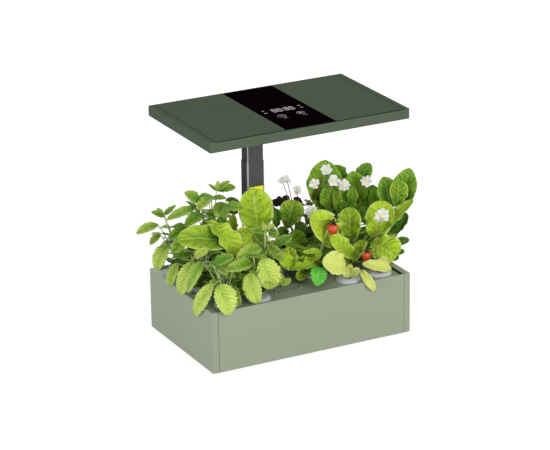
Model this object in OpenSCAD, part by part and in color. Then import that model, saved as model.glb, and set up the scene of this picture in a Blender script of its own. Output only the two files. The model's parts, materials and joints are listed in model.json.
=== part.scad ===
// Countertop hydroponic garden: a panel-sided water box with a lift-out
// planting deck, and a flat grow lamp on a telescopic post.
// Millimetres, +Z up, front is -Y. The origin is the middle of the
// footprint, on the surface that the rubber feet stand on.

/* [Box] */
// Width of the box over its end panels
box_w = 405; // [396:1:430]
// Depth of the box over its front and back panels
box_d = 258; // [254:1:280]
// Height of the box rim above the surface
box_h = 117; // [113:1:130]
// Width of an end panel, seen from the front
end_t = 12; // [10:0.5:14]
// Sheet thickness of the panels
sheet_t = 2; // [1.5:0.1:2.5]
// Width of the open seam between the front and back panels and an end panel
seam = 0.6; // [0:0.1:1]
// Thickness of the base pan
pan_t = 1.6; // [1.2:0.1:2.4]
// Height of the gap between the panels and the surface
foot_gap = 1.5; // [1:0.1:3]
// Diameter of a rubber foot
foot_d = 18; // [14:1:24]

/* [Planting deck] */
// Thickness of the deck plate
deck_t = 3; // [2.5:0.1:4]
// Depth of the deck's top below the rim
deck_drop = 4; // [3:0.5:6]
// Gap between the deck and each end panel
deck_side_gap = 3; // [2:0.5:5]
// Gap between the deck and the front and back panels
deck_end_gap = 0.8; // [0.5:0.1:1.5]
// Diameter of the hole for a net basket
pod_hole_d = 38; // [37:0.5:39]
// Diameter of a basket's flange
flange_d = 44; // [42:1:48]
// Depth of a basket below the deck's top
basket_h = 50; // [40:1:60]
// Distance of the outer pods from the deck's ends
pod_end = 29.5; // [28.5:0.5:32]
// Distance from an outer pod to the next one, along X
pod_step_x = 66; // [62:1:70]
// Distance from there to an inner pod, along X
pod_inner_x = 40; // [38:1:42]
// Distance of the front and back pods from the deck's edges
pod_edge = 32.2; // [31.2:0.2:34.2]
// Distance from there to an inner pod, along Y
pod_inner_y = 52; // [50:1:54]

/* [Fill port] */
// Width of the fill lid
lid_w = 46; // [40:1:50]
// Depth of the fill lid from its hinge
lid_d = 34; // [30:1:36]
// Gap between the lid and the flange of the pod on its left
lid_side = 19; // [14:1:24]
// Distance of the lid's hinge from the deck's front edge
lid_back = 39.7; // [38.7:0.5:41.7]

/* [Water tank] */
// Wall of the tank
tank_wall = 2.2; // [1.8:0.1:3]
// Distance of the tank's wall inboard of the deck's edge
tank_inset = 6; // [5:0.5:8]
// Width of the recess that the post stands in
recess_w = 52; // [50:1:58]
// Depth of that recess, from the tank's back wall
recess_d = 48; // [48:1:52]

/* [Post] */
// Width of the lower tube
post_w = 36; // [34:0.5:38]
// Depth of the lower tube
post_d = 28; // [26:0.5:30]
// Wall of both tubes
post_wall = 1; // [0.8:0.1:1.4]
// Corner radius of the lower tube
post_r = 3.5; // [3:0.5:5]
// Clearance between the tubes, each side
post_gap = 0.3; // [0.3:0.05:0.4]
// Distance of the post's axis from the inner face of the back panel
post_back = 25.5; // [24:0.5:27]
// Height of the lower tube's top above the surface
post_top = 302; // [280:1:320]
// Height of the upper tube's lower end, at the height shown
upper_foot = 128; // [120:1:140]

/* [Lamp] */
// Width of the lamp
lamp_w = 398; // [380:1:420]
// Depth of the lamp
lamp_d = 250; // [244:1:256]
// Thickness of the lamp
lamp_t = 19; // [18:0.5:24]
// Height of the lamp's underside above the surface, as shown
lamp_z = 414; // [405:1:430]
// Distance from the post's axis to the lamp's back edge
lamp_back = 19.5; // [19:0.5:24]
// Width of the lamp's end bands
band_w = 11; // [9:0.5:13]
// Wall of the lamp's frame
frame_t = 1.6; // [1.4:0.1:2]
// Width of the black glass strip
glass_w = 99; // [90:1:110]
// Number of lamp chips along X
led_nx = 14; // [6:1:18]
// Number of lamp chips along Y
led_ny = 6; // [4:1:8]

/* [Hidden] */
$fn = 48;
eps = 0.5;                // how far a cutter runs past the face it opens

inner_x = box_w / 2 - end_t;          // inboard edge of the end panels
inner_y = box_d / 2 - sheet_t;        // inner face of the front and back panels
pan_z = foot_gap + sheet_t;           // underside of the base pan
tank_z = pan_z + pan_t;               // underside of the tank
deck_z = box_h - deck_drop;           // top of the deck
deck_x = inner_x - deck_side_gap;     // half the deck's width
deck_y = inner_y - deck_end_gap;      // half the deck's depth
tank_top = deck_z - deck_t;
tank_x = deck_x - tank_inset;
tank_y = deck_y - tank_inset;
tank_floor = tank_z + tank_wall;
recess_y = tank_y - recess_d;
strap_t = 1.8;
strap_w = 22;
strap_gap = 6;                        // straps start this far above the pan
return_w = 10;                        // bottom return of the front and back panels
front_x = inner_x - seam;             // half the width of the front and back panels

screw_r = 1.5;
screw_hole_r = 1.6;
head_r = 2.75;
head_h = 1.2;
case_screw_end = 40.5;                // from the end panel's edge to its nearest screw
case_screw_x = [case_screw_end - inner_x, 0, inner_x - case_screw_end];
case_screw_y = inner_y - return_w / 2;

post_y = inner_y - post_back;
pod_x3 = deck_x - pod_end;
pod_x2 = pod_x3 - pod_step_x;
pod_x1 = pod_x2 - pod_inner_x;
pod_y2 = deck_y - pod_edge;
pod_y1 = pod_y2 - pod_inner_y;

socket_t = 3;
socket_wall = 2.5;
socket_h = 30;
socket_fit = 0.1;
socket_screw_x = 15;
socket_screw_y = 21.5;
tube_z = tank_z + socket_t;

inlet_z = 24;
inlet_r = 5;
inlet_bore_r = 2.75;
inlet_depth = 9;
inlet_flange_t = 1;
lead_r = 2;
lead_hole_r = 2.6;

pump_x = -50;
pump_y = tank_y - tank_wall - 20;
pump_w = 34;
pump_d = 30;
pump_h = 32;
pump_foot = 3;
rotor_r = 9;
rotor_gap = 1;
rotor_h = 12;
rotor_pin_r = 1.2;
rotor_fit = 0.05;
pipe_r = 5;
pipe_bore_r = 3.5;
pipe_top = deck_z - 22;

level_x = 50;
level_r = 3;
level_h = 60;
float_r = 13;
float_h = 18;
float_fit = 0.35;
float_rest = 5;

lid_t = 1.8;
lid_gap = 0.4;
lid_edge = 3;                         // ledge that the closed lid rests on
hinge_r = 1.9;
pin_r = 0.9;
pin_fit = 0.05;
ear_w = 4;
hinge_y = lid_back - deck_y;
lid_x = flange_d / 2 + lid_side + lid_w / 2 - pod_x2;
hinge_z = deck_z - 0.1;
lid_rest = deck_z - lid_t;

flange_t = 2;
basket_wall = 1.2;
basket_top_r = pod_hole_d / 2 - 0.4;
basket_foot_r = 14;
slot_w = 4;
slot_h = 26;
sponge_gap = 0.3;
sponge_h = 46;
collar_r = 20;
collar_bore_r = 7;
collar_t = 2.2;
stem_z = flange_t + collar_t + 1.2;   // stems fan out above the collars
notch_gap = 1;                        // gap between the post and the deck

upper_w = post_w - 2 * (post_wall + post_gap);
upper_d = post_d - 2 * (post_wall + post_gap);
upper_r = post_r - post_wall - post_gap;
block_fit = 0.1;
block_h = 8;
plug_h = 16;

pods = [[-pod_x3, -pod_y2], [-pod_x2, -pod_y2], [pod_x2, -pod_y2], [pod_x3, -pod_y2],
    [-pod_x1, -pod_y1], [pod_x1, -pod_y1], [-pod_x3, 0], [pod_x3, 0],
    [-pod_x1, pod_y1], [pod_x1, pod_y1], [-pod_x3, pod_y2], [-pod_x2, pod_y2],
    [pod_x2, pod_y2], [pod_x3, pod_y2]];

lamp_top = lamp_z + lamp_t;
rail_x = lamp_w / 2 - band_w;         // inboard edge of the end bands
lamp_in = lamp_d / 2 - frame_t;       // inner face of the front and back rails
lamp_y = post_y + lamp_back - lamp_d / 2;
plate_gap = 1.2;                      // open joint round the lamp's top
lip = 6;
diffuser_t = 1.8;
board_t = 1.6;
board_z = lamp_z + frame_t + diffuser_t + frame_t;
board_gap = 0.5;
ledge_z = lamp_top - 2 * frame_t;
bay_w = 52;                           // notch that the bracket fills
bay_d = 46;
bracket_h = lamp_t - 3 * frame_t - 0.4;
wing_w = 10;
wing_t = 2.4;
led_w = 3;
led_h = 1;

// ---------- shared shapes ----------

// A rectangle with true round corners, centred on the origin
module round_rect(w, d, r) {
    square([w - 2 * r, d], center = true);
    square([w, d - 2 * r], center = true);
    for (x = [-1, 1], y = [-1, 1])
        translate([x * (w / 2 - r), y * (d / 2 - r)]) circle(r);
}

module round_tube(w, d, r, wall, h) {
    difference() {
        linear_extrude(h) round_rect(w, d, r);
        translate([0, 0, -eps])
            linear_extrude(h + 2 * eps)
                round_rect(w - 2 * wall, d - 2 * wall, r - wall);
    }
}

// A box given by its lowest and highest corners
module block(low, high) {
    translate(low) cube(high - low);
}

module at_pods() {
    for (p = pods) translate([p.x, p.y, 0]) children();
}

// A pan-head screw with its head down at z = 0 and its shank going up
module screw_up(l) {
    translate([0, 0, -head_h]) cylinder(r = head_r, h = head_h);
    cylinder(r = screw_r, h = l);
}

// A pan-head screw with its head up at z = 0 and its shank going down
module screw_down(l) {
    mirror([0, 0, 1]) screw_up(l);
}

// ---------- box ----------

// The front panel, with its bottom return; the back one is its mirror image
module wall_panel() {
    difference() {
        union() {
            block([-front_x, -box_d / 2, foot_gap], [front_x, -inner_y, box_h]);
            block([-front_x, -inner_y, foot_gap],
                  [front_x, return_w - inner_y, pan_z]);
        }
        for (x = case_screw_x)
            translate([x, -case_screw_y, foot_gap - eps])
                cylinder(r = screw_hole_r, h = sheet_t + 2 * eps);
    }
}

module front_panel() {
    color("#9ca38d") wall_panel();
}

module back_panel() {
    color("#9ca38d") difference() {
        mirror([0, 1, 0]) wall_panel();
        translate([0, inner_y - eps, inlet_z]) rotate([-90, 0, 0])
            cylinder(r = inlet_r + 0.1, h = sheet_t + 2 * eps);
    }
}

// An end panel is a shallow tray on its side, open towards the tank
module end_panel() {
    difference() {
        block([-box_w / 2, -box_d / 2, foot_gap], [-inner_x, box_d / 2, box_h]);
        block([sheet_t - box_w / 2, -inner_y, pan_z],
              [eps - inner_x, inner_y, box_h - sheet_t]);
    }
}

module left_end_panel() {
    color("#939b8a") end_panel();
}

module right_end_panel() {
    color("#939b8a") mirror([1, 0, 0]) end_panel();
}

// Flat straps behind the four upright seams join the panels
module corner_straps() {
    color("#70756c")
        for (sx = [0, 1], sy = [0, 1]) mirror([sx, 0, 0]) mirror([0, sy, 0])
            block([sheet_t - box_w / 2, -inner_y, tank_z + strap_gap],
                  [sheet_t - box_w / 2 + strap_w, strap_t - inner_y,
                   tank_top - strap_gap]);
}

module base_pan() {
    color("#8b8f88") difference() {
        block([sheet_t - box_w / 2, -inner_y, pan_z],
              [box_w / 2 - sheet_t, inner_y, tank_z]);
        for (x = case_screw_x, y = [-1, 1])
            translate([x, y * case_screw_y, pan_z - eps])
                cylinder(r = screw_hole_r, h = pan_t + 2 * eps);
        for (x = [-1, 1], y = [-1, 1])
            translate([x * socket_screw_x, post_y + y * socket_screw_y, pan_z - eps])
                cylinder(r = screw_hole_r, h = pan_t + 2 * eps);
    }
}

module case_screws() {
    color("#5f6260")
        for (x = case_screw_x, y = [-1, 1])
            translate([x, y * case_screw_y, foot_gap]) screw_up(sheet_t + pan_t);
}

// Four pads near the corners and one under the middle of the tank
module rubber_feet() {
    color("#2b2b2b") {
        cylinder(d = foot_d, h = pan_z);
        for (x = [-1, 1], y = [-1, 1])
            translate([x * (inner_x - foot_d), y * (inner_y - return_w - foot_d), 0])
                cylinder(d = foot_d, h = pan_z);
    }
}

// ---------- tank ----------

// The tank's plan: a rectangle with the post's recess cut from its back edge
module tank_plan(inset) {
    x = tank_x - inset;
    y = tank_y - inset;
    rx = recess_w / 2 + inset;
    ry = recess_y - inset;
    polygon([[-x, -y], [x, -y], [x, y], [rx, y], [rx, ry], [-rx, ry], [-rx, y],
             [-x, y]]);
}

module water_tank() {
    rim_t = tank_wall;
    color("#c9cfc8") difference() {
        union() {
            translate([0, 0, tank_z]) linear_extrude(tank_top - tank_z) tank_plan(0);
            difference() {
                block([1 - deck_x, 1 - deck_y, tank_top - rim_t],
                      [deck_x - 1, deck_y - 1, tank_top]);
                block([-recess_w / 2, recess_y, tank_top - rim_t - eps],
                      [recess_w / 2, deck_y, tank_top + eps]);
            }
        }
        translate([0, 0, tank_floor]) linear_extrude(tank_top) tank_plan(tank_wall);
        translate([-recess_w / 2 - tank_wall - eps, post_y, pipe_top])
            rotate([0, 90, 0]) cylinder(r = lead_hole_r, h = tank_wall + 2 * eps);
    }
}

// ---------- post, lower part ----------

module post_socket() {
    collar_w = post_w + 2 * socket_wall;
    collar_d = post_d + 2 * socket_wall;
    color("#3c3c3e") difference() {
        union() {
            block([-recess_w / 2 + 2, recess_y + 2, tank_z],
                  [recess_w / 2 - 2, inner_y - 1, tube_z]);
            translate([0, post_y, tank_z])
                linear_extrude(socket_h)
                    round_rect(collar_w, collar_d, post_r + socket_wall);
        }
        translate([0, post_y, tube_z])
            linear_extrude(socket_h)
                round_rect(post_w + 2 * socket_fit, post_d + 2 * socket_fit,
                           post_r + socket_fit);
        for (x = [-1, 1], y = [-1, 1])
            translate([x * socket_screw_x, post_y + y * socket_screw_y, tank_z - eps])
                cylinder(r = screw_hole_r, h = socket_t + 2 * eps);
        translate([0, post_y, inlet_z]) rotate([-90, 0, 0])
            cylinder(r = lead_hole_r, h = post_d);
    }
}

module socket_screws() {
    color("#5f6260")
        for (x = [-1, 1], y = [-1, 1])
            translate([x * socket_screw_x, post_y + y * socket_screw_y, tube_z])
                screw_down(socket_t + pan_t);
}

module post_lower_tube() {
    color("#505052") difference() {
        translate([0, post_y, tube_z])
            round_tube(post_w, post_d, post_r, post_wall, post_top - tube_z);
        translate([0, post_y, inlet_z]) rotate([-90, 0, 0])
            cylinder(r = lead_hole_r, h = post_d);
    }
}

// A plain sticker on the flat of the tube's front face
module post_label() {
    label_t = 0.3;
    label_h = 32;
    label_top = post_top - 48;
    flat = post_w / 2 - post_r;
    color("#f5eb32")
        block([-flat, post_y - post_d / 2 - label_t, label_top - label_h],
              [flat, post_y - post_d / 2, label_top]);
}

// The supply lead: from the inlet through the tube's back wall, and up inside
module post_lead() {
    lead_top = 52;
    color("#222222") {
        translate([0, post_y, inlet_z]) rotate([-90, 0, 0])
            cylinder(r = lead_r, h = box_d / 2 - inlet_depth - 1 - post_y);
        translate([0, post_y, inlet_z]) sphere(lead_r);
        translate([0, post_y, inlet_z]) cylinder(r = lead_r, h = lead_top - inlet_z);
    }
}

module dc_inlet() {
    color("#1d1d1d") translate([0, box_d / 2, inlet_z]) rotate([90, 0, 0]) difference() {
        union() {
            translate([0, 0, -inlet_flange_t])
                cylinder(r = inlet_r + 1.5, h = inlet_flange_t);
            cylinder(r = inlet_r, h = inlet_depth + 1);
        }
        translate([0, 0, -inlet_flange_t - eps])
            cylinder(r = inlet_bore_r, h = inlet_depth + inlet_flange_t + eps);
    }
}

module inlet_pin() {
    color("#b9bab8") translate([0, box_d / 2, inlet_z]) rotate([90, 0, 0])
        cylinder(r = 1, h = inlet_depth);
}

module inlet_nut() {
    nut_t = 3;
    color("#b9bab8")
        translate([0, inner_y, inlet_z]) rotate([90, 0, 0]) difference() {
            cylinder(r = inlet_r + 2.6, h = nut_t, $fn = 6);
            translate([0, 0, -eps]) cylinder(r = inlet_r, h = nut_t + 2 * eps);
        }
}

// ---------- pump and level gauge ----------

module pump_body() {
    z = tank_floor + pump_foot;
    chamber_r = rotor_r + rotor_gap;
    color("#26282a") translate([pump_x, pump_y, z]) difference() {
        translate([-pump_w / 2, -pump_d / 2, 0]) cube([pump_w, pump_d, pump_h]);
        translate([-4, 0, pump_h - rotor_h - 6]) cylinder(r = chamber_r, h = rotor_h + 1);
        // intake grille in the front face
        for (i = [-2:2])
            translate([-4 + i * 3.5 - 0.8, -pump_d / 2 - eps, pump_h - rotor_h - 4])
                cube([1.6, pump_d / 2, rotor_h - 4]);
        translate([pump_w / 2 - 7, 7, pump_h - 6]) cylinder(r = pipe_r, h = 7);
        // channel from the rotor chamber to the outlet
        translate([-4, 4, pump_h - 9]) cube([pump_w / 2 + 2, 5, 4]);
    }
    color("#26282a") translate([pump_x - 4, pump_y, z + pump_h - rotor_h - 6])
        cylinder(r = rotor_pin_r, h = rotor_h + 1);
}

module pump_cups() {
    color("#3a3d40") translate([pump_x, pump_y, tank_floor])
        for (x = [-1, 1], y = [-1, 1])
            translate([x * (pump_w / 2 - 6), y * (pump_d / 2 - 6), 0])
                cylinder(r1 = 6, r2 = 3, h = pump_foot);
}

// A four-bladed impeller that turns on the housing's upright pin
module pump_rotor() {
    color("#e8e8e6")
        translate([pump_x - 4, pump_y, tank_floor + pump_foot + pump_h - rotor_h - 5.5])
            difference() {
                union() {
                    cylinder(r = 4, h = rotor_h);
                    intersection() {
                        cylinder(r = rotor_r, h = rotor_h);
                        for (a = [0, 90]) rotate([0, 0, a])
                            translate([-rotor_r, -0.8, 0])
                                cube([2 * rotor_r, 1.6, rotor_h]);
                    }
                }
                translate([0, 0, -eps])
                    cylinder(r = rotor_pin_r + rotor_fit, h = rotor_h + 2 * eps);
            }
}

// The riser from the pump, with a capped elbow that throws the water forwards
module outlet_pipe() {
    x = pump_x + pump_w / 2 - 7;
    y = pump_y + 7;
    foot = tank_floor + pump_foot + pump_h - 6;
    spout_l = 32;
    spout_r = pipe_r - 0.6;
    color("#2f3133") translate([x, y, 0]) difference() {
        union() {
            translate([0, 0, foot]) cylinder(r = pipe_r, h = pipe_top + 6 - foot);
            translate([0, 0, pipe_top]) rotate([90, 0, 0])
                cylinder(r = spout_r, h = spout_l);
        }
        translate([0, 0, foot - eps])
            cylinder(r = pipe_bore_r, h = pipe_top + 4 - foot + eps);
        translate([0, 0, pipe_top]) rotate([90, 0, 0])
            cylinder(r = pipe_bore_r - 0.4, h = spout_l + eps);
    }
}

// The pump's lead: up beside the pump, through the recess wall, down to the socket
module pump_lead() {
    r = 1.6;
    x0 = -recess_w / 2 - tank_wall - 3;
    x1 = -recess_w / 2 + 3.5;
    z0 = tank_floor + pump_foot + 12;
    color("#222222") {
        translate([pump_x + pump_w / 2, post_y, z0]) rotate([0, 90, 0])
            cylinder(r = r, h = x0 - pump_x - pump_w / 2);
        translate([x0, post_y, z0]) sphere(r);
        translate([x0, post_y, z0]) cylinder(r = r, h = pipe_top - z0);
        translate([x0, post_y, pipe_top]) sphere(r);
        translate([x0, post_y, pipe_top]) rotate([0, 90, 0]) cylinder(r = r, h = x1 - x0);
        translate([x1, post_y, pipe_top]) sphere(r);
        translate([x1, post_y, tube_z]) cylinder(r = r, h = pipe_top - tube_z);
    }
}

module level_stem() {
    color("#d9dad8") translate([level_x, pump_y, tank_floor]) {
        cylinder(r = float_r - 2, h = 3);
        cylinder(r = level_r, h = level_h);
        cylinder(r = level_r + 2, h = float_rest);
        translate([0, 0, level_h]) cylinder(r = level_r + 2, h = 3);
    }
}

// The float rides up the stem as the tank fills; it is shown at the bottom
module level_float() {
    color("#e3e4e0") translate([level_x, pump_y, tank_floor + float_rest]) difference() {
        cylinder(r = float_r, h = float_h);
        translate([0, 0, -eps]) cylinder(r = level_r + float_fit, h = float_h + 2 * eps);
    }
}

// ---------- planting deck ----------

module fill_hole() {
    half = lid_w / 2;
    front = hinge_y - lid_d;
    trough = hinge_r + 0.4;
    // the lid's recess, its opening and the trough for the hinge barrel
    block([lid_x - half - lid_gap, front - lid_gap, lid_rest],
          [lid_x + half + lid_gap, hinge_y, deck_z + eps]);
    block([lid_x - half + lid_edge, front + lid_edge, deck_z - deck_t - eps],
          [lid_x + half - lid_edge, hinge_y - hinge_r - lid_edge, deck_z + eps]);
    block([lid_x - half - lid_gap, hinge_y - trough, hinge_z - trough],
          [lid_x + half + lid_gap, hinge_y + trough, deck_z + eps]);
}

module grow_deck() {
    notch_w = post_w + 2 * notch_gap;
    ear_x = lid_w / 2 + lid_gap;
    rib_w = 40;
    rib_h = 6;
    color("#5f6758") difference() {
        union() {
            block([-deck_x, -deck_y, deck_z - deck_t], [deck_x, deck_y, deck_z]);
            for (s = [-1, 1])
                translate([lid_x + s * (ear_x + ear_w / 2), hinge_y, hinge_z])
                    translate([-ear_w / 2, -hinge_r, -1])
                        cube([ear_w, 2 * hinge_r, hinge_r + 1]);
            // ribs that drop just inside the tank's walls
            for (x = [-1, 1], y = [-1, 1])
                translate([x * tank_x / 2 - rib_w / 2,
                           y * (tank_y - tank_wall - 2) - 1, deck_z - deck_t - rib_h])
                    cube([rib_w, 2, rib_h + 1]);
        }
        at_pods() translate([0, 0, deck_z - deck_t - eps])
            cylinder(d = pod_hole_d, h = deck_t + 2 * eps);
        block([-notch_w / 2, post_y - post_d / 2 - notch_gap, deck_z - deck_t - eps],
              [notch_w / 2, deck_y + eps, deck_z + eps]);
        fill_hole();
        pin_bar();
    }
}

module fill_lid() {
    half = lid_w / 2;
    tab_w = 14;
    color("#5f6758") difference() {
        union() {
            block([lid_x - half, hinge_y - lid_d, lid_rest],
                  [lid_x + half, hinge_y - 1, deck_z]);
            translate([lid_x - half, hinge_y, hinge_z]) rotate([0, 90, 0])
                cylinder(r = hinge_r, h = lid_w);
            translate([lid_x - tab_w / 2, hinge_y - lid_d, deck_z - eps])
                cube([tab_w, 2, 1 + eps]);
        }
        translate([lid_x - half - eps, hinge_y, hinge_z]) rotate([0, 90, 0])
            cylinder(r = pin_r + pin_fit, h = lid_w + 2 * eps);
    }
}

// The hinge pin's shape, which also makes its holes in the deck's ears
module pin_bar() {
    pin_l = lid_w + 2 * (lid_gap + ear_w);
    translate([lid_x - pin_l / 2, hinge_y, hinge_z]) rotate([0, 90, 0])
        cylinder(r = pin_r, h = pin_l);
}

module lid_pin() {
    color("#b9bab8") pin_bar();
}

// Radius of the basket's outer wall at a depth below the deck's top
function basket_r(depth) =
    basket_top_r - (basket_top_r - basket_foot_r) * depth / basket_h;

module net_basket() {
    difference() {
        rotate_extrude() polygon([
            [0, -basket_h], [basket_foot_r, -basket_h], [basket_top_r, 0],
            [flange_d / 2, 0], [flange_d / 2, flange_t],
            [basket_top_r - basket_wall, flange_t],
            [basket_foot_r - basket_wall, basket_wall - basket_h],
            [0, basket_wall - basket_h]]);
        for (a = [0:45:135]) rotate([0, 0, a])
            translate([-flange_d / 2, -slot_w / 2, 6 - basket_h])
                cube([flange_d, slot_w, slot_h]);
    }
}

module net_baskets() {
    color("#e6e6ea") at_pods() translate([0, 0, deck_z]) net_basket();
}

// Foam plugs that hold the roots, one in each basket
module sponges() {
    foot_r = basket_r(sponge_h) - basket_wall - sponge_gap;
    top_r = basket_r(0) - basket_wall - sponge_gap;
    color("#6b5a45") at_pods() translate([0, 0, deck_z - sponge_h])
        cylinder(r1 = foot_r, r2 = top_r, h = sponge_h);
}

// White collars that close the flanges round the stems
module pod_collars() {
    color("#dcdce6") collars();
}

module collars() {
    at_pods() translate([0, 0, deck_z + flange_t]) difference() {
        cylinder(r1 = collar_r, r2 = collar_r - 2, h = collar_t);
        translate([0, 0, -eps]) cylinder(r = collar_bore_r, h = collar_t + 2 * eps);
    }
}

// ---------- plants ----------

function quad(a, b, c, d) = [[a, c, b], [a, d, c]];

// Half the blade's width at a share u of its length, for a width of 1.
// A full above 1 puts the widest place past the middle, as on lettuce.
function outline(u, full) = 0.5 * pow(sin(180 * pow(u, full)), 0.7);

// The midrib, in the XZ plane: it starts along +X and bends down evenly
function midrib(l, curl, n) = [for (i = 0, p = [0, 0]; i <= n;
    p = p + l / n * [cos(curl * (i + 0.5) / n), -sin(curl * (i + 0.5) / n)],
    i = i + 1) p];

// A thin closed leaf blade with a shallow V fold along its midrib
module blade(l, w, curl, full = 0.85, fold = 14, t = 1.4, n = 5) {
    rib = midrib(l, curl, n);
    ring = [for (i = [1:n - 1]) let (
            a = curl * i / n,
            h = w * outline(i / n, full),
            up = [sin(a), 0, cos(a)],
            c = [rib[i].x, 0, rib[i].y],
            side = [0, h * cos(fold), 0],
            rise = up * h * sin(fold))
        each [c + side + rise, c, c - side + rise,
              c + side + rise - up * t, c - up * t, c - side + rise - up * t]];
    points = concat([[0, 0, 0]], ring, [[rib[n].x, 0, rib[n].y]]);
    tip = len(points) - 1;
    last = tip - 6;
    faces = concat(
        [[0, 1, 2], [0, 2, 3], [0, 5, 4], [0, 6, 5], [0, 4, 1], [0, 3, 6]],
        [for (i = [0:n - 3], f = let (k = 1 + 6 * i) concat(
            quad(k, k + 1, k + 7, k + 6), quad(k + 1, k + 2, k + 8, k + 7),
            quad(k + 4, k + 3, k + 9, k + 10), quad(k + 5, k + 4, k + 10, k + 11),
            quad(k + 3, k, k + 6, k + 9), quad(k + 2, k + 5, k + 11, k + 8))) f],
        [[tip, last + 1, last], [tip, last + 2, last + 1],
         [tip, last + 3, last + 4], [tip, last + 4, last + 5],
         [tip, last, last + 3], [tip, last + 5, last + 2]]);
    polyhedron(points, faces);
}

module stalk(a, b, r) {
    hull() {
        translate(a) sphere(r, $fn = 4);
        translate(b) sphere(r * 0.7, $fn = 4);
    }
}

// A stalk through several points, getting thinner from each one to the next
module runner(points, r) {
    for (i = [0:len(points) - 2]) stalk(points[i], points[i + 1], r * pow(0.7, i));
}

// One blade: [x, y, z of its foot, heading, climb, twist, length, width, curl].
// The climb is that of the chord, so the blade starts steeper by half the curl.
// A long blade gets a section more than a short one.
module placed_blade(row, full) {
    translate([row[0], row[1], row[2]]) rotate([0, 0, row[3]])
        rotate([0, -row[4] - row[8] / 2, 0]) rotate([row[5], 0, 0])
            blade(row[6], row[7], row[8], full, n = row[6] > 60 ? 5 : 4);
}

// Puts plants over their pod, with the deck's top as z = 0
module in_pod(pod) {
    translate([pods[pod].x, pods[pod].y, deck_z]) children();
}

// The root crown, which stands on the foam plug
module crown(at = [0, 0], r = 3.2) {
    translate([at.x, at.y, 0]) cylinder(r = r, h = stem_z + 1, $fn = 8);
}

// A plant whose blades each have a stalk of their own
module plant(pod, rows, full = 0.85, r = 1.6, at = [0, 0]) {
    in_pod(pod) {
        crown(at);
        for (row = rows) {
            stalk([at.x, at.y, stem_z], [row[0], row[1], row[2]], r);
            placed_blade(row, full);
        }
    }
}

// An upright stem with crossed pairs of drooping blades, shorter towards its top
module leafy_stem(pod, top, pairs, l, turn, climb = -10) {
    foot = [0, 0, stem_z];
    in_pod(pod) {
        stalk(foot, top, 2.2);
        for (i = [1:pairs], s = [0, 180]) let (
                at = foot + (top - foot) * i / pairs, size = l * (1 - 0.4 * i / pairs))
            placed_blade([at.x, at.y, at.z, turn + 90 * i + s, climb, 0,
                          size, size * 0.62, 35], 0.85);
    }
}

// A ring of low blades round the crown, turned by the golden angle
module rosette(pod, count, l, w, climb, start, full = 1.5, at = [0, 0]) {
    in_pod(pod) {
        crown(at, 4);
        for (i = [0:count - 1]) let (a = start + i * 137.5)
            placed_blade([at.x + 2 * cos(a), at.y + 2 * sin(a), stem_z + 0.1 * i, a,
                          climb + 4 * i, 0, l, w, 35], full);
    }
}

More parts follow.
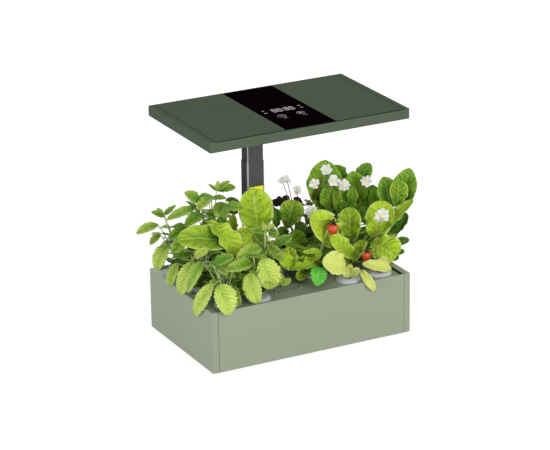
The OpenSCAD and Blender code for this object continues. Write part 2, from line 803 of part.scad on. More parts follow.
// Toothed, drooping leaves on upright stems, from the left-hand pods
module balm_plants() {
    plant(0, [[-34, -18, 53, 145, -75, -70, 88, 29, 40], [-23, -22, 51, -75, -70, 15, 59, 47, 40],
        [10, -10, 38, -100, -70, 50, 38, 25, 30], [-27, 34, 76, 170, -70, -35, 68, 30, 40],
        [20, 2, 72, 175, 0, -30, 39, 24, 30], [-24, -2, 81, -10, 15, 15, 42, 26, 30],
        [-26, -14, 21, -65, -50, 60, 24, 17, 20], [-3, -8, 19, -40, -25, 65, 30, 18, 20],
        [10, 10, 27, -10, -25, 70, 40, 20, 30]]);
    leafy_stem(0, [-14, 2, 74], 3, 46, 20);
    plant(1, [[-25, -14, 58, -100, -80, 35, 59, 35, 40], [7, -4, 76, -70, -80, 20, 61, 47, 40],
        [-9, 6, 68, -160, -5, -45, 61, 25, 30], [-32, 10, 36, -70, -55, 45, 35, 20, 20],
        [-15, 18, 51, -155, -55, -40, 36, 22, 30], [20, 24, 15, -10, -15, 70, 42, 18, 30]]);
    leafy_stem(1, [-6, 6, 80], 3, 46, 65);
    plant(4, [[26, -24, 5, -150, 40, -130, 31, 15, 30], [20, -24, 4, -10, 10, 75, 24, 13, 30],
        [-3, -8, 108, -165, 10, -45, 32, 13, 20], [6, -8, 108, -25, -50, 95, 23, 18, 20],
        [2, -14, 80, -45, -60, 80, 29, 23, 30], [-18, -20, 84, -155, -10, -35, 63, 26, 30],
        [-2, -8, 107, -150, 65, -130, 19, 11, 10], [10, -8, 105, 10, 70, 60, 15, 11, 10],
        [-18, -8, 51, -155, -5, -60, 41, 22, 30], [2, -2, 45, -10, -40, 80, 45, 22, 30]]);
    leafy_stem(4, [0, -4, 106], 3, 44, 40);
    plant(6, [[-34, -34, 68, 160, -80, -55, 78, 32, 40], [-35, 26, 47, 175, -75, -30, 51, 21, 40],
        [-6, -40, 92, 165, -35, -55, 30, 20, 20], [-8, 30, 94, -165, -35, -25, 49, 26, 30],
        [-18, 10, 66, 180, -5, -40, 35, 13, 20], [-8, -30, 62, -165, -35, -50, 35, 22, 30],
        [15, -20, 55, -20, -50, 80, 35, 22, 30], [-11, -14, 21, -175, -20, -65, 28, 20, 30]]);
    leafy_stem(6, [-6, -12, 72], 2, 48, 10);
    plant(10, [[-28, -14, 65, -180, -70, -25, 57, 30, 45], [-43, -4, 102, -175, -15, -25, 45, 20, 30],
        [-42, -9, 84, -175, -40, -20, 26, 16, 30], [-31, -4, 116, -155, 20, -65, 31, 13, 30],
        [-30, -4, 118, 10, 25, 25, 30, 13, 10], [-32, -4, 122, 175, 40, -80, 16, 8, 10],
        [12, -24, 92, -165, -15, -35, 49, 24, 30], [4, -20, 96, -175, 0, -50, 25, 14, 20],
        [-5, -24, 66, -170, -30, -45, 27, 19, 30], [2, -34, 62, -25, -35, 80, 31, 19, 30]]);
    leafy_stem(10, [-20, -4, 92], 3, 44, 30);
    plant(11, [[-40, -14, 125, -165, -10, -30, 63, 23, 20], [-27, -9, 135, -170, 30, -70, 36, 22, 20],
        [-26, -9, 139, 5, -10, 35, 34, 22, 20], [-9, -14, 139, -150, -20, -20, 39, 24, 20],
        [6, -9, 124, -60, -60, 30, 36, 35, 30], [11, -4, 147, 0, 25, 10, 31, 14, 10],
        [11, -4, 147, -20, 5, 20, 36, 23, 10], [11, -4, 147, -175, 40, -65, 22, 8, 10],
        [10, -6, 148, 10, 70, 50, 18, 9, 10], [-27, -16, 113, -155, -20, -30, 45, 23, 25],
        [-12, -14, 116, -40, -60, 70, 18, 15, 20], [29, -6, 125, 0, -20, 35, 31, 14, 20],
        [25, -14, 109, 0, -25, 50, 29, 15, 20], [-6, -18, 93, -155, -20, -45, 30, 22, 30]]);
    leafy_stem(11, [0, -6, 132], 3, 46, 70);
}

// Broad leaves with round ends, from the inner pods and the one on the right
module lettuce_plants() {
    full = 1.5;
    plant(8, [[-41, -18, 60, -125, -5, -75, 141, 43, 75],
        [-91, -32, 124, -55, -45, 10, 86, 43, 50], [-19, -4, 72, 175, 80, -150, 42, 24, 10],
        [15, -56, 73, -160, 10, -55, 71, 40, 35], [44, 2, 51, 170, 75, -100, 100, 68, 20],
        [-41, -12, 69, -160, 65, -120, 49, 28, 20], [-26, -22, 52, -155, 55, -120, 51, 26, 20],
        [-52, -32, 57, -145, 25, -110, 60, 22, 30], [-18, -22, 47, 15, 55, 45, 39, 26, 20],
        [-3, -32, 42, -145, 20, -115, 40, 22, 30], [-12, -22, 26, -145, 5, -95, 50, 26, 40]], full);
    plant(9, [[-13, 3, 64, 5, 60, 60, 56, 45, 20], [15, -18, 36, -140, 10, -60, 71, 32, 40],
        [10, -28, 28, -160, 40, -100, 50, 29, 30], [-30, 8, 67, -125, 75, -150, 39, 20, 15],
        [-12, -2, 43, -160, 45, -105, 35, 22, 20], [3, -6, 50, 0, 50, 45, 29, 22, 20],
        [-9, -12, 26, -145, 25, -120, 36, 24, 30], [7, -12, 19, -15, 25, 65, 35, 24, 30]], full);
    plant(5, [[-50, -8, 25, -140, 25, -105, 55, 29, 35], [-50, -10, 26, -165, 50, -160, 43, 32, 30],
        [-51, -10, 24, -5, 20, 25, 64, 29, 25], [-60, -18, 26, -15, 5, 25, 50, 26, 30],
        [-26, 2, 29, -20, -40, 75, 47, 22, 40], [-7, 6, 24, -170, 40, -110, 34, 26, 30],
        [9, 6, 13, -5, 30, 60, 36, 24, 30], [-22, -14, 18, -145, -20, -50, 34, 20, 40]], full);
    plant(7, [[-41, -12, 32, -135, 25, -110, 106, 61, 45], [-13, -10, 34, -135, 60, -180, 72, 46, 30],
        [26, -24, 35, -60, 60, 110, 82, 56, 25], [35, -46, 59, -25, 45, 30, 82, 31, 15],
        [15, -36, 39, -70, -35, 45, 58, 57, 60], [-30, -52, 20, -150, 30, -95, 77, 33, 35],
        [-34, -56, 16, 5, 50, 25, 47, 28, 25], [74, -30, 94, -75, 75, 145, 56, 34, 15],
        [76, -24, 40, 0, 55, 35, 44, 25, 15], [-16, 10, 14, -165, 45, -105, 46, 26, 25],
        [19, 4, 14, -15, 65, 70, 42, 29, 25], [43, -6, 23, 0, 30, 55, 48, 26, 25],
        [-17, -36, 6, -145, 15, -90, 49, 26, 30], [-4, -52, 11, -60, 0, 75, 28, 26, 30],
        [50, -20, 18, -25, 10, 40, 52, 17, 20], [47, -30, 10, -30, -5, 70, 39, 13, 20],
        [37, -46, 9, -50, 0, 50, 29, 16, 20]], full);
    rosette(8, 4, 50, 32, 22, 200);
    rosette(9, 5, 44, 30, 24, 230);
    rosette(5, 6, 40, 26, 18, 215);
    rosette(7, 4, 44, 32, 20, 190);
}

// Tall dark leaves from the back right-hand pod
module chard_plant() {
    plant(13, [[-24, -2, 75, -75, 65, 150, 96, 66, 20], [32, -6, 109, -170, 50, -80, 52, 30, 20],
        [38, -38, 74, -145, 70, -140, 74, 45, 20], [42, -30, 114, -20, 50, 55, 50, 29, 25],
        [20, -50, 88, -90, 75, 150, 33, 22, 15], [-3, -38, 71, -130, 70, -145, 49, 20, 15],
        [93, -100, 79, -85, 60, 130, 87, 48, 25], [77, -94, 80, -130, 55, -140, 71, 43, 30],
        [93, -114, 85, -25, 65, 50, 46, 17, 15], [68, -64, 64, -145, 70, -150, 55, 33, 20],
        [50, -50, 63, -90, 75, 150, 54, 29, 20], [-13, -24, 50, -160, 40, -105, 61, 30, 25],
        [14, -34, 49, -75, 75, 140, 46, 29, 20], [87, -84, 43, -30, 50, 80, 43, 29, 25]], 1.15, 2);
    rosette(13, 3, 60, 38, 50, 200, 1.15);
}

// Small dark leaves round the flower stems at the back
module basil_plant(at) {
    plant(12, [[-39, -2, 94, -165, 25, -85, 24, 15, 15], [-36, -2, 95, -10, 45, 55, 20, 15, 15],
        [-40, -4, 91, -170, 70, -125, 22, 15, 15], [4, -10, 89, -170, 35, -80, 27, 14, 15],
        [48, -18, 73, -165, 50, -105, 35, 19, 15], [51, -20, 69, -35, 70, 90, 28, 18, 15],
        [60, -28, 66, -115, 75, 180, 24, 15, 15]], 1.3, at = at);
    rosette(12, 5, 46, 30, 30, 40, 1.3, at);
}

// Each flower head: [pod, middle of its back, heading, tilt, radius]
heads = [[12, [40, -34, 159], -30, 55, 11], [12, [15, -34, 136], -30, 60, 11],
    [12, [51, -44, 138], -20, 50, 12], [12, [67, -54, 130], -30, 60, 13],
    [12, [-41, -14, 145], -30, 40, 9], [12, [-32, -14, 146], 20, 40, 9],
    [12, [-10, -14, 121], -30, 55, 9], [5, [23, 52, 102], -30, 70, 14],
    [13, [42, -64, 133], -10, 50, 11], [3, [27, 39, 96], -25, 75, 15]];
// Each fruit: [pod, where its runner bends, where it ends, radius]
fruit = [[5, [30, 2, 101], [37, 0, 95], 13], [3, [0, 30, 42], [-10, 33, 37], 13]];
head_t = 3;

// Five-petalled heads, drawn as plain discs
module blossoms() {
    color("#f6f4ee") for (h = heads) in_pod(h[0])
        translate(h[1]) rotate([0, 0, h[2]]) rotate([h[3], 0, 0])
            translate([0, 0, 1]) cylinder(r = h[4], h = head_t, $fn = 10);
}

// Hanging fruit, drawn as cones
module berries() {
    color("#d8402a") for (f = fruit) in_pod(f[0])
        translate(f[2] - [0, 0, 2 * f[3] + 0.4])
            cylinder(r1 = f[3] * 0.3, r2 = f[3], h = 2 * f[3], $fn = 12);
}

// Runners with the flowers and fruit, and a few toothed leaves of their own
module strawberry_plants() {
    side = [3.2, -3];
    plant(5, [[-13, -38, 31, -120, -30, -15, 46, 32, 30]], at = side);
    plant(2, [[0, 8, 24, -155, 10, -70, 58, 47, 35], [19, -14, 20, -100, -55, 30, 52, 17, 100],
        [5, 2, 2, -165, 40, -110, 30, 15, 20], [8, 0, 4, -25, 45, 75, 21, 15, 20],
        [1, 6, 5, -10, 60, 65, 23, 13, 20]]);
    plant(3, [[-31, 10, 21, -35, -20, 50, 57, 23, 35], [3, 14, 13, -5, 0, 65, 27, 20, 30]]);
    in_pod(12) crown(side);
    for (h = heads) in_pod(h[0]) stalk([side.x, side.y, stem_z], h[1], 1.3);
    for (f = fruit) in_pod(f[0]) runner([[0, 0, stem_z], f[1], f[2]], 1.8);
}

module strawberry() {
    color("#8fbf3a") difference() {
        strawberry_plants();
        blossoms();
        berries();
        collars();
    }
}

// Leaves of different plants cross here and there: each kind is cut
// back to leave room for the kinds before it, and for the collars
module lemon_balm() {
    color("#7fae3c") difference() {
        balm_plants();
        strawberry_plants();
        collars();
    }
}

module leaf_lettuce() {
    color("#9cc83c") difference() {
        lettuce_plants();
        balm_plants();
        strawberry_plants();
        blossoms();
        berries();
        collars();
    }
}

module chard() {
    color("#4c8a28") difference() {
        chard_plant();
        lettuce_plants();
        strawberry_plants();
        blossoms();
        collars();
    }
}

module purple_basil() {
    side = [-3.4, 3];
    color("#3a1c2c") difference() {
        basil_plant(side);
        strawberry_plants();
        chard_plant();
        lettuce_plants();
        blossoms();
        collars();
    }
}

// ---------- post, upper part ----------

module post_upper_tube() {
    color("#555557") translate([0, post_y, upper_foot])
        round_tube(upper_w, upper_d, upper_r, post_wall,
                   lamp_z + frame_t + bracket_h - upper_foot - sheet_t);
}

// The plastic foot of the upper tube, which slides in the lower one
module slide_block() {
    guide_w = post_w - 2 * (post_wall + block_fit);
    guide_d = post_d - 2 * (post_wall + block_fit);
    plug_w = upper_w - 2 * post_wall;
    plug_d = upper_d - 2 * post_wall;
    color("#1f1f20") translate([0, post_y, upper_foot]) difference() {
        union() {
            translate([0, 0, -block_h]) linear_extrude(block_h)
                round_rect(guide_w, guide_d, post_r - post_wall - block_fit);
            linear_extrude(plug_h) round_rect(plug_w, plug_d, upper_r - post_wall);
        }
        translate([0, 0, -block_h - eps])
            cylinder(r = lead_hole_r, h = block_h + plug_h + 2 * eps);
    }
}

module lamp_lead() {
    color("#222222") translate([0, post_y, upper_foot - block_h])
        cylinder(r = lead_hole_r, h = block_h + plug_h);
    color("#222222") translate([0, post_y, upper_foot])
        cylinder(r = lead_r, h = lamp_z + frame_t + bracket_h - upper_foot - sheet_t);
}

// ---------- lamp ----------

// Cross-section of a rail, with the lamp's outside at x = 0 and its top at y = 0
module rail_profile() {
    t = frame_t;
    h = lamp_t;
    mid = board_z - lamp_z - h;
    polygon([[0, -h], [lip, -h], [lip, t - h], [t, t - h], [t, mid - t],
        [lip - 2, mid - t], [lip - 2, mid], [t, mid], [t, -2 * t], [lip, -2 * t],
        [lip, -t], [t, -t], [t, 0], [0, 0]]);
}

module lamp_rail() {
    translate([-rail_x, -lamp_d / 2, lamp_top]) rotate([90, 0, 90])
        linear_extrude(2 * rail_x) rail_profile();
}

module lamp_front_rail() {
    color("#4f5d49") translate([0, lamp_y, 0]) lamp_rail();
}

module lamp_back_rail() {
    color("#4f5d49") translate([0, lamp_y, 0]) mirror([0, 1, 0]) difference() {
        lamp_rail();
        // the middle ledge stops either side of the bracket
        block([-bay_w / 2, -lamp_in, lamp_z + frame_t],
              [bay_w / 2, lip - lamp_d / 2 + eps, board_z + eps]);
        // room for the tube, wherever it passes the bottom lip
        translate([0, lamp_y - post_y, lamp_z - eps])
            linear_extrude(frame_t + 2 * eps)
                round_rect(upper_w + 2 * post_gap, upper_d + 2 * post_gap,
                           upper_r + post_gap);
    }
}

module lamp_end() {
    difference() {
        block([-lamp_w / 2, -lamp_d / 2, lamp_z], [-rail_x, lamp_d / 2, lamp_top]);
        block([frame_t - lamp_w / 2, -lamp_in, lamp_z + frame_t],
              [eps - rail_x, lamp_in, lamp_top - frame_t]);
    }
}

module lamp_left_end() {
    color("#4b5845") translate([0, lamp_y, 0]) lamp_end();
}

module lamp_right_end() {
    color("#4b5845") translate([0, lamp_y, 0]) mirror([1, 0, 0]) lamp_end();
}

// Two plates, either side of the glass
module lamp_top_plates() {
    edge = lamp_in - plate_gap;
    color("#505c48") translate([0, lamp_y, 0])
        for (s = [0, 1]) mirror([s, 0, 0])
            block([plate_gap - rail_x, -edge, lamp_top - frame_t],
                  [-glass_w / 2 - plate_gap, edge, lamp_top]);
}

module touch_glass() {
    edge = lamp_in - plate_gap;
    color("#080406") translate([0, lamp_y, 0])
        block([-glass_w / 2, -edge, lamp_top - frame_t], [glass_w / 2, edge, lamp_top]);
}

// Outline of the boards: a rectangle with a bay at the back for the bracket
module board_plan(gap) {
    x = rail_x - gap;
    y = lamp_in - gap;
    b = bay_w / 2 + gap;
    translate([0, lamp_y])
        polygon([[-x, -y], [x, -y], [x, y], [b, y], [b, y - bay_d], [-b, y - bay_d],
                 [-b, y], [-x, y]]);
}

module diffuser() {
    color("#f2f2ee") translate([0, 0, lamp_z + frame_t])
        linear_extrude(diffuser_t) board_plan(board_gap);
}

module wing_screw_holes(r) {
    for (x = [-1, 1], y = [-1, 1])
        translate([x * (bay_w / 2 + wing_w / 2), post_y + y * post_d / 3, 0])
            cylinder(r = r, h = 2 * lamp_t, center = true);
}

module light_board() {
    color("#c4c6c4") translate([0, 0, board_z]) difference() {
        linear_extrude(board_t) board_plan(board_gap);
        wing_screw_holes(screw_hole_r);
    }
}

// Chips in rows under the board; every fifth place holds a red one
module leds(red) {
    pitch_x = (2 * rail_x - 40) / (led_nx - 1);
    pitch_y = (2 * lamp_in - bay_d - 50) / (led_ny - 1);
    for (i = [0:led_nx - 1], j = [0:led_ny - 1])
        if (((i + 2 * j) % 5 == 0) == red)
            translate([(i - (led_nx - 1) / 2) * pitch_x - led_w / 2,
                       lamp_y - lamp_in + 20 + j * pitch_y - led_w / 2,
                       board_z - led_h])
                cube([led_w, led_w, led_h]);
}

module white_leds() {
    color("#fff6d0") leds(false);
}

module red_leds() {
    color("#e03030") leds(true);
}

// A small board, given by its middle, on four posts that stand on the light board
module small_board(middle, w, d, post_h) {
    inset = 6;
    translate([middle.x, middle.y, board_z + board_t]) {
        translate([-w / 2, -d / 2, post_h]) cube([w, d, board_t]);
        for (x = [-1, 1], y = [-1, 1])
            translate([x * (w / 2 - inset), y * (d / 2 - inset), 0])
                cylinder(r = 2.5, h = post_h);
    }
}

// The touch and display board, with its block of figures under the glass
module display_board() {
    side = glass_w - 15;
    post_h = 4;
    figures = [52, 20];
    at = [0, lamp_y - 14];
    color("#1e5a34") small_board([0, lamp_y - side / 2 + 18], side, side, post_h);
    color("#202020")
        block([at.x - figures.x / 2, at.y - figures.y / 2,
               board_z + 2 * board_t + post_h],
              [at.x + figures.x / 2, at.y + figures.y / 2, lamp_top - frame_t - 0.4]);
}

// The driver that feeds the lamp's chips, with its coil
module driver_board() {
    size = [80, 50];
    post_h = 3;
    coil = [18, 24, 2.4];
    at = [size.x / 2 + 38 - rail_x, lamp_y - 5];
    color("#1e5a34") small_board(at, size.x, size.y, post_h);
    color("#303030")
        translate([at.x - size.x / 2 + 10, at.y - coil.y / 2,
                   board_z + 2 * board_t + post_h])
            cube(coil);
}

// The bracket fills the bay at the back and clamps the upper tube's end
module lamp_bracket() {
    y1 = lamp_y + lamp_in;
    y0 = y1 - bay_d;
    z0 = lamp_z + frame_t;
    zw = board_z + board_t;
    color("#3c3c3e") difference() {
        union() {
            block([-bay_w / 2, y0, z0], [bay_w / 2, y1, z0 + bracket_h]);
            block([-bay_w / 2 - wing_w, y0, zw],
                  [bay_w / 2 + wing_w, y1 - lip, zw + wing_t]);
        }
        translate([0, post_y, z0 - eps])
            linear_extrude(bracket_h + eps - sheet_t) round_rect(upper_w, upper_d, upper_r);
        translate([0, 0, zw]) wing_screw_holes(screw_hole_r);
    }
}

module bracket_screws() {
    zw = board_z + board_t + wing_t;
    color("#5f6260")
        for (x = [-1, 1], y = [-1, 1])
            translate([x * (bay_w / 2 + wing_w / 2), post_y + y * post_d / 3, zw])
                screw_down(wing_t + board_t);
}

front_panel();
back_panel();
left_end_panel();
right_end_panel();
corner_straps();
base_pan();
case_screws();
rubber_feet();
water_tank();
post_socket();
socket_screws();
post_lower_tube();
post_label();
post_lead();
dc_inlet();
inlet_pin();
inlet_nut();
pump_body();
pump_cups();
pump_rotor();
outlet_pipe();
pump_lead();
level_stem();
level_float();
grow_deck();
fill_lid();
lid_pin();
net_baskets();
sponges();
pod_collars();
lemon_balm();
leaf_lettuce();
chard();
strawberry();
blossoms();
berries();
purple_basil();
post_upper_tube();
slide_block();
lamp_lead();
lamp_front_rail();
lamp_back_rail();
lamp_left_end();
lamp_right_end();
lamp_top_plates();
touch_glass();
display_board();
light_board();
white_leds();
red_leds();
diffuser();
driver_board();
lamp_bracket();
bracket_screws();
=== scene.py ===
# %% [markdown]
# # A countertop hydroponic garden
# A low box of painted sheet metal holds the water. A deck with fourteen net
# baskets lies on it, full of herbs, lettuce and strawberries, and a flat grow
# lamp stands over them on a telescopic post. The solid model comes in as a
# fixed frame, in metres. Every piece made here finishes one of its solids or
# stands for one, and only the figures of the display are added to them.

# %% Load the frame
import json
import math
import random

import bmesh
import bpy
from mathutils import Matrix, Vector, noise


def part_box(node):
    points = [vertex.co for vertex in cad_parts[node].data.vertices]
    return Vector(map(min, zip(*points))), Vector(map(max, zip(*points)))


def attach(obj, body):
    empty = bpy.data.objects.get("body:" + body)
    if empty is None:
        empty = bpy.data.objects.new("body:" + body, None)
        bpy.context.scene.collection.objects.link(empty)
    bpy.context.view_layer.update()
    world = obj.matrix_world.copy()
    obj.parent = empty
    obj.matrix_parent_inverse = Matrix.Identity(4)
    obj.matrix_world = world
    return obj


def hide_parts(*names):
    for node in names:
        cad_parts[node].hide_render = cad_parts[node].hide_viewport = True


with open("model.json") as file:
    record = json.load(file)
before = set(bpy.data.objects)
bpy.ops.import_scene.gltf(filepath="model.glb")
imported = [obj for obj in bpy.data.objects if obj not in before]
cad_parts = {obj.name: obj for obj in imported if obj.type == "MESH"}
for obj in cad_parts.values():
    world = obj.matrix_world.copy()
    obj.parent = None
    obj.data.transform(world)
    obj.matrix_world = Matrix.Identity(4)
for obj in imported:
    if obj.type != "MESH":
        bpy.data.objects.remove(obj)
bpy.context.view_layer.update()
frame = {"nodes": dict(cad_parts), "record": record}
nodes = frame["nodes"]
record = frame["record"]
body_of = {n: b for b, names in record["behaviour"]["bodies"].items() for n in names}
slot_of = {s["node"]: s["material_slot"] for s in record["subparts"]}
MM = 0.001
print("CAD nodes:", len(nodes))

# %% [markdown]
# ## The camera
# A long lens looks from the front left, a little above the lamp. The camera
# could be aimed by a Track To constraint, but that can't give it the slight
# roll. So the direction is given as an azimuth round the object and an
# elevation over the horizon, and the camera's three axes are written down and
# put in a matrix.

# %% Camera
scene = bpy.context.scene
scene.view_settings.view_transform = "Standard"

AZIMUTH, ELEVATION, ROLL = (math.radians(a) for a in (-27.586, 20.137, -0.75))
EYE = Vector((-2.0627, -3.9329, 1.8346))
FOCAL_MM, SENSOR_MM = 169.56, 36

back = Vector((math.sin(AZIMUTH) * math.cos(ELEVATION),
               -math.cos(AZIMUTH) * math.cos(ELEVATION), math.sin(ELEVATION)))
right = (-back).cross(Vector((0, 0, 1))).normalized()
up = right.cross(-back)
right, up = (right * math.cos(ROLL) + up * math.sin(ROLL),
             up * math.cos(ROLL) - right * math.sin(ROLL))
lens = bpy.data.cameras.new("camera")
lens.lens, lens.sensor_width = FOCAL_MM, SENSOR_MM
lens.clip_end = 60
camera = bpy.data.objects.new("camera", lens)
camera.matrix_world = Matrix((
    (right.x, up.x, back.x, EYE.x),
    (right.y, up.y, back.y, EYE.y),
    (right.z, up.z, back.z, EYE.z),
    (0, 0, 0, 1)))
scene.collection.objects.link(camera)
scene.camera = camera
print("camera at", [round(v, 3) for v in EYE])

# %% [markdown]
# ## Building shader trees
# A material is a small program of nodes. It could be drawn by hand in the
# editor, but a helper keeps each one to a few lines. It adds a node, sets its
# properties and fills its sockets: a socket given as a value is set, and one
# given as another node's output is linked. Colours are written as 0 to 255, as
# a colour picker shows them, and turned into the linear values that the
# renderer works with.

# %% Colours and nodes
def linear(r, g, b):
    """A colour picker's colour as linear RGBA."""
    def one(v):
        v /= 255
        return v / 12.92 if v <= 0.04045 else ((v + 0.055) / 1.055) ** 2.4
    return (one(r), one(g), one(b), 1)


def put(tree, kind, sockets=None, **settings):
    """Adds a node; sockets maps input names or numbers to values or outputs."""
    node = tree.nodes.new("ShaderNode" + kind)
    for name, value in settings.items():
        setattr(node, name, value)
    for key, value in (sockets or {}).items():
        if isinstance(value, bpy.types.NodeSocket):
            tree.links.new(value, node.inputs[key])
        else:
            node.inputs[key].default_value = value
    return node


print("middle grey as linear values:", [round(v, 3) for v in linear(128, 128, 128)])

# %% [markdown]
# Sums, blends and steps come back in every pattern, so each gets a helper. A
# step that rises smoothly from 0 to 1 is a mask: it says where a pattern
# starts and where it ends. A Color Ramp could do the same, but Map Range takes
# its two limits as plain numbers, in metres if need be.

# %% Sums, blends and steps
def maths(tree, operation, a, b=0.0, clamp=False):
    """The output of one sum, named as Blender's Math node names it."""
    return put(tree, "Math", {0: a, 1: b}, operation=operation, use_clamp=clamp).outputs[0]


def blend_colours(tree, share, a, b):
    """Colour a where share is 0 and colour b where it is 1."""
    return put(tree, "Mix", {"Factor": share, 6: a, 7: b}, data_type="RGBA").outputs[2]


def ramp(tree, value, low, high):
    """0 below low, 1 above high, and a smooth rise between them."""
    return put(tree, "MapRange", {"Value": value, "From Min": low, "From Max": high},
               interpolation_type="SMOOTHSTEP").outputs["Result"]


print("helpers for sums, blends and steps ready")

# %% [markdown]
# A material starts empty and ends in a Principled shader. A group is a tree of
# its own with named sockets, which many materials can share, so that an effect
# is built once. It hands out colours, values and normals. The shader could sit
# in it too, but stays in the material, where an export can read it.

# %% New materials and groups
def new_material(name):
    """An empty node material, and its tree."""
    made = bpy.data.materials.new(name)
    made.use_nodes = True
    made.node_tree.nodes.clear()
    return made, made.node_tree


def close_material(tree, sockets):
    """Ends a tree in a Principled shader with these sockets."""
    shader = put(tree, "BsdfPrincipled", sockets)
    put(tree, "OutputMaterial", {"Surface": shader.outputs[0]})


def new_group(name, inputs, outputs):
    """An empty node group with its sockets, and its two end nodes."""
    group = bpy.data.node_groups.new(name, "ShaderNodeTree")
    for title, kind, value in inputs:
        socket = group.interface.new_socket(title, in_out="INPUT",
                                            socket_type="NodeSocket" + kind)
        socket.default_value = value
    for title, kind in outputs:
        group.interface.new_socket(title, in_out="OUTPUT", socket_type="NodeSocket" + kind)
    given = group.nodes.new("NodeGroupInput").outputs
    result = group.nodes.new("NodeGroupOutput").inputs
    return group, given, result


print("helpers for materials and groups ready")

# %% [markdown]
# ## Floor and light
# The garden stands on a plain pale floor. To the camera, and in reflections
# and through clear things, the floor is lifted to white, while the light that
# it sends back onto the object stays plain. A very bright floor would look as
# white, but it would throw far more light up under the leaves. This one keeps
# a soft shadow, because part of its brightness is still ordinary diffuse
# light.

# %% Floor
FLOOR_HALF = 14
SEEN_GREY, LIFT, PLAIN_GREY = 0.32, 0.84, 0.72

floor_mesh = bpy.data.meshes.new("floor")
bm = bmesh.new()
bmesh.ops.create_grid(bm, x_segments=1, y_segments=1, size=FLOOR_HALF)
bm.to_mesh(floor_mesh)
bm.free()
floor = bpy.data.objects.new("floor", floor_mesh)
scene.collection.objects.link(floor)


def seen_directly(tree):
    """1 for camera, glossy and transmission rays."""
    path = put(tree, "LightPath").outputs
    both = maths(tree, "MAXIMUM", path["Is Camera Ray"], path["Is Glossy Ray"])
    return maths(tree, "MAXIMUM", both, path["Is Transmission Ray"])


floor_paint, tree = new_material("pale_floor")
shade = put(tree, "BsdfDiffuse", {"Color": (SEEN_GREY,) * 3 + (1,)}).outputs[0]
lift = put(tree, "Emission", {"Color": (1, 1, 1, 1), "Strength": LIFT}).outputs[0]
seen = put(tree, "AddShader", {0: shade, 1: lift}).outputs[0]
plain = put(tree, "BsdfDiffuse", {"Color": (PLAIN_GREY,) * 3 + (1,)}).outputs[0]
mixed = put(tree, "MixShader", {0: seen_directly(tree), 1: plain, 2: seen}).outputs[0]
put(tree, "OutputMaterial", {"Surface": mixed})
floor_mesh.materials.append(floor_paint)
print("floor", 2 * FLOOR_HALF, "m wide")

# %% [markdown]
# The world is an even white sky. A sky texture could light the scene too, but
# it would tint the paint. Seen directly the sky has a strength of 1, which is
# white. As a light it has about half of that, so that the lamps can shape the
# object and no pale surface burns out.

# %% World
SKY_LIGHT = 0.52
world = bpy.data.worlds.new("studio")
world.use_nodes = True
scene.world = world
tree = world.node_tree
tree.nodes.clear()
level = maths(tree, "MULTIPLY_ADD", seen_directly(tree), 1 - SKY_LIGHT)
level.node.inputs[2].default_value = SKY_LIGHT
put(tree, "OutputWorld", {"Surface": put(
    tree, "Background", {"Color": (1, 1, 1, 1), "Strength": level}).outputs[0]})
print("sky light", SKY_LIGHT)

# %% [markdown]
# Three large square lamps shape the object: a key light in front, a weaker one
# at the left for the short side, and one behind for the leaves' rims. Small
# lamps could stand in the same places, but each leaf would throw a hard shadow
# on the next one.

# %% Lamps
def soft_lamp(name, spot, aim, size, power):
    """A square area light that looks from spot to aim."""
    data = bpy.data.lights.new(name, "AREA")
    data.size, data.energy = size, power
    lamp = bpy.data.objects.new(name, data)
    lamp.location = spot
    lamp.rotation_euler = (Vector(aim) - Vector(spot)).to_track_quat("-Z", "Y").to_euler()
    scene.collection.objects.link(lamp)
    print(name, power, "W")


soft_lamp("key", (1.0, -3.7, 1.35), (0, 0, 0.2), 1.4, 60)
soft_lamp("side", (-2.2, -0.9, 0.3), (0, 0, 0.08), 1.0, 17)
soft_lamp("rim", (0.8, 3.4, 1.5), (0, 0, 0.25), 1.8, 36)

# %% [markdown]
# ## Surface effects
# Three effects come back in many finishes, so each is a node group. *Coated*
# gives paint its faint orange-peel and a slow drift of tone. *Moulded* gives
# plastic and rubber a finer grain. *Drawn* stretches the grain along one axis,
# as on an extruded tube or a rolled sheet. All are noise on Object
# coordinates: a UV map could carry them too, but it would have seams at the
# folds of the sheet.

# %% Surface groups
def surface_group(name, stretch, drift_scale, grain_scale):
    """Colour, roughness and normal with a drift of tone and a fine grain."""
    group, given, result = new_group(
        name,
        [("Colour", "Color", (0.5, 0.5, 0.5, 1)), ("Drift", "Float", 0.05),
         ("Roughness", "Float", 0.45), ("Grain", "Float", 0.1)],
        [("Colour", "Color"), ("Roughness", "Float"), ("Normal", "Vector")])
    spot = put(group, "TexCoord").outputs["Object"]
    drawn = put(group, "Mapping", {"Vector": spot, "Scale": stretch}).outputs[0]
    drift = put(group, "TexNoise", {"Vector": drawn, "Scale": drift_scale,
                                    "Detail": 4.0}).outputs[0]
    grain = put(group, "TexNoise", {"Vector": drawn, "Scale": grain_scale,
                                    "Detail": 2.0}).outputs[0]
    centred = maths(group, "SUBTRACT", drift, 0.5)
    swing = maths(group, "MULTIPLY", centred, maths(group, "MULTIPLY", given["Drift"], 2.0))
    fine = maths(group, "MULTIPLY", maths(group, "SUBTRACT", grain, 0.5), given["Drift"])
    value = maths(group, "ADD", maths(group, "ADD", 1.0, swing), fine)
    tinted = put(group, "HueSaturation", {"Color": given["Colour"], "Value": value})
    rough = maths(group, "ADD", given["Roughness"], maths(group, "MULTIPLY", centred, 0.16),
                  clamp=True)
    bump = put(group, "Bump", {"Height": grain, "Strength": given["Grain"],
                               "Distance": 0.0004})
    for title, socket in (("Colour", tinted.outputs[0]), ("Roughness", rough),
                          ("Normal", bump.outputs[0])):
        group.links.new(socket, result[title])
    return group


COATED = surface_group("coated_surface", (1, 1, 1), 9, 900)
MOULDED = surface_group("moulded_surface", (1, 1, 1), 22, 1600)
DRAWN = surface_group("drawn_surface", (1, 1, 0.02), 14, 620)
print("surface groups:", COATED.name, MOULDED.name, DRAWN.name)

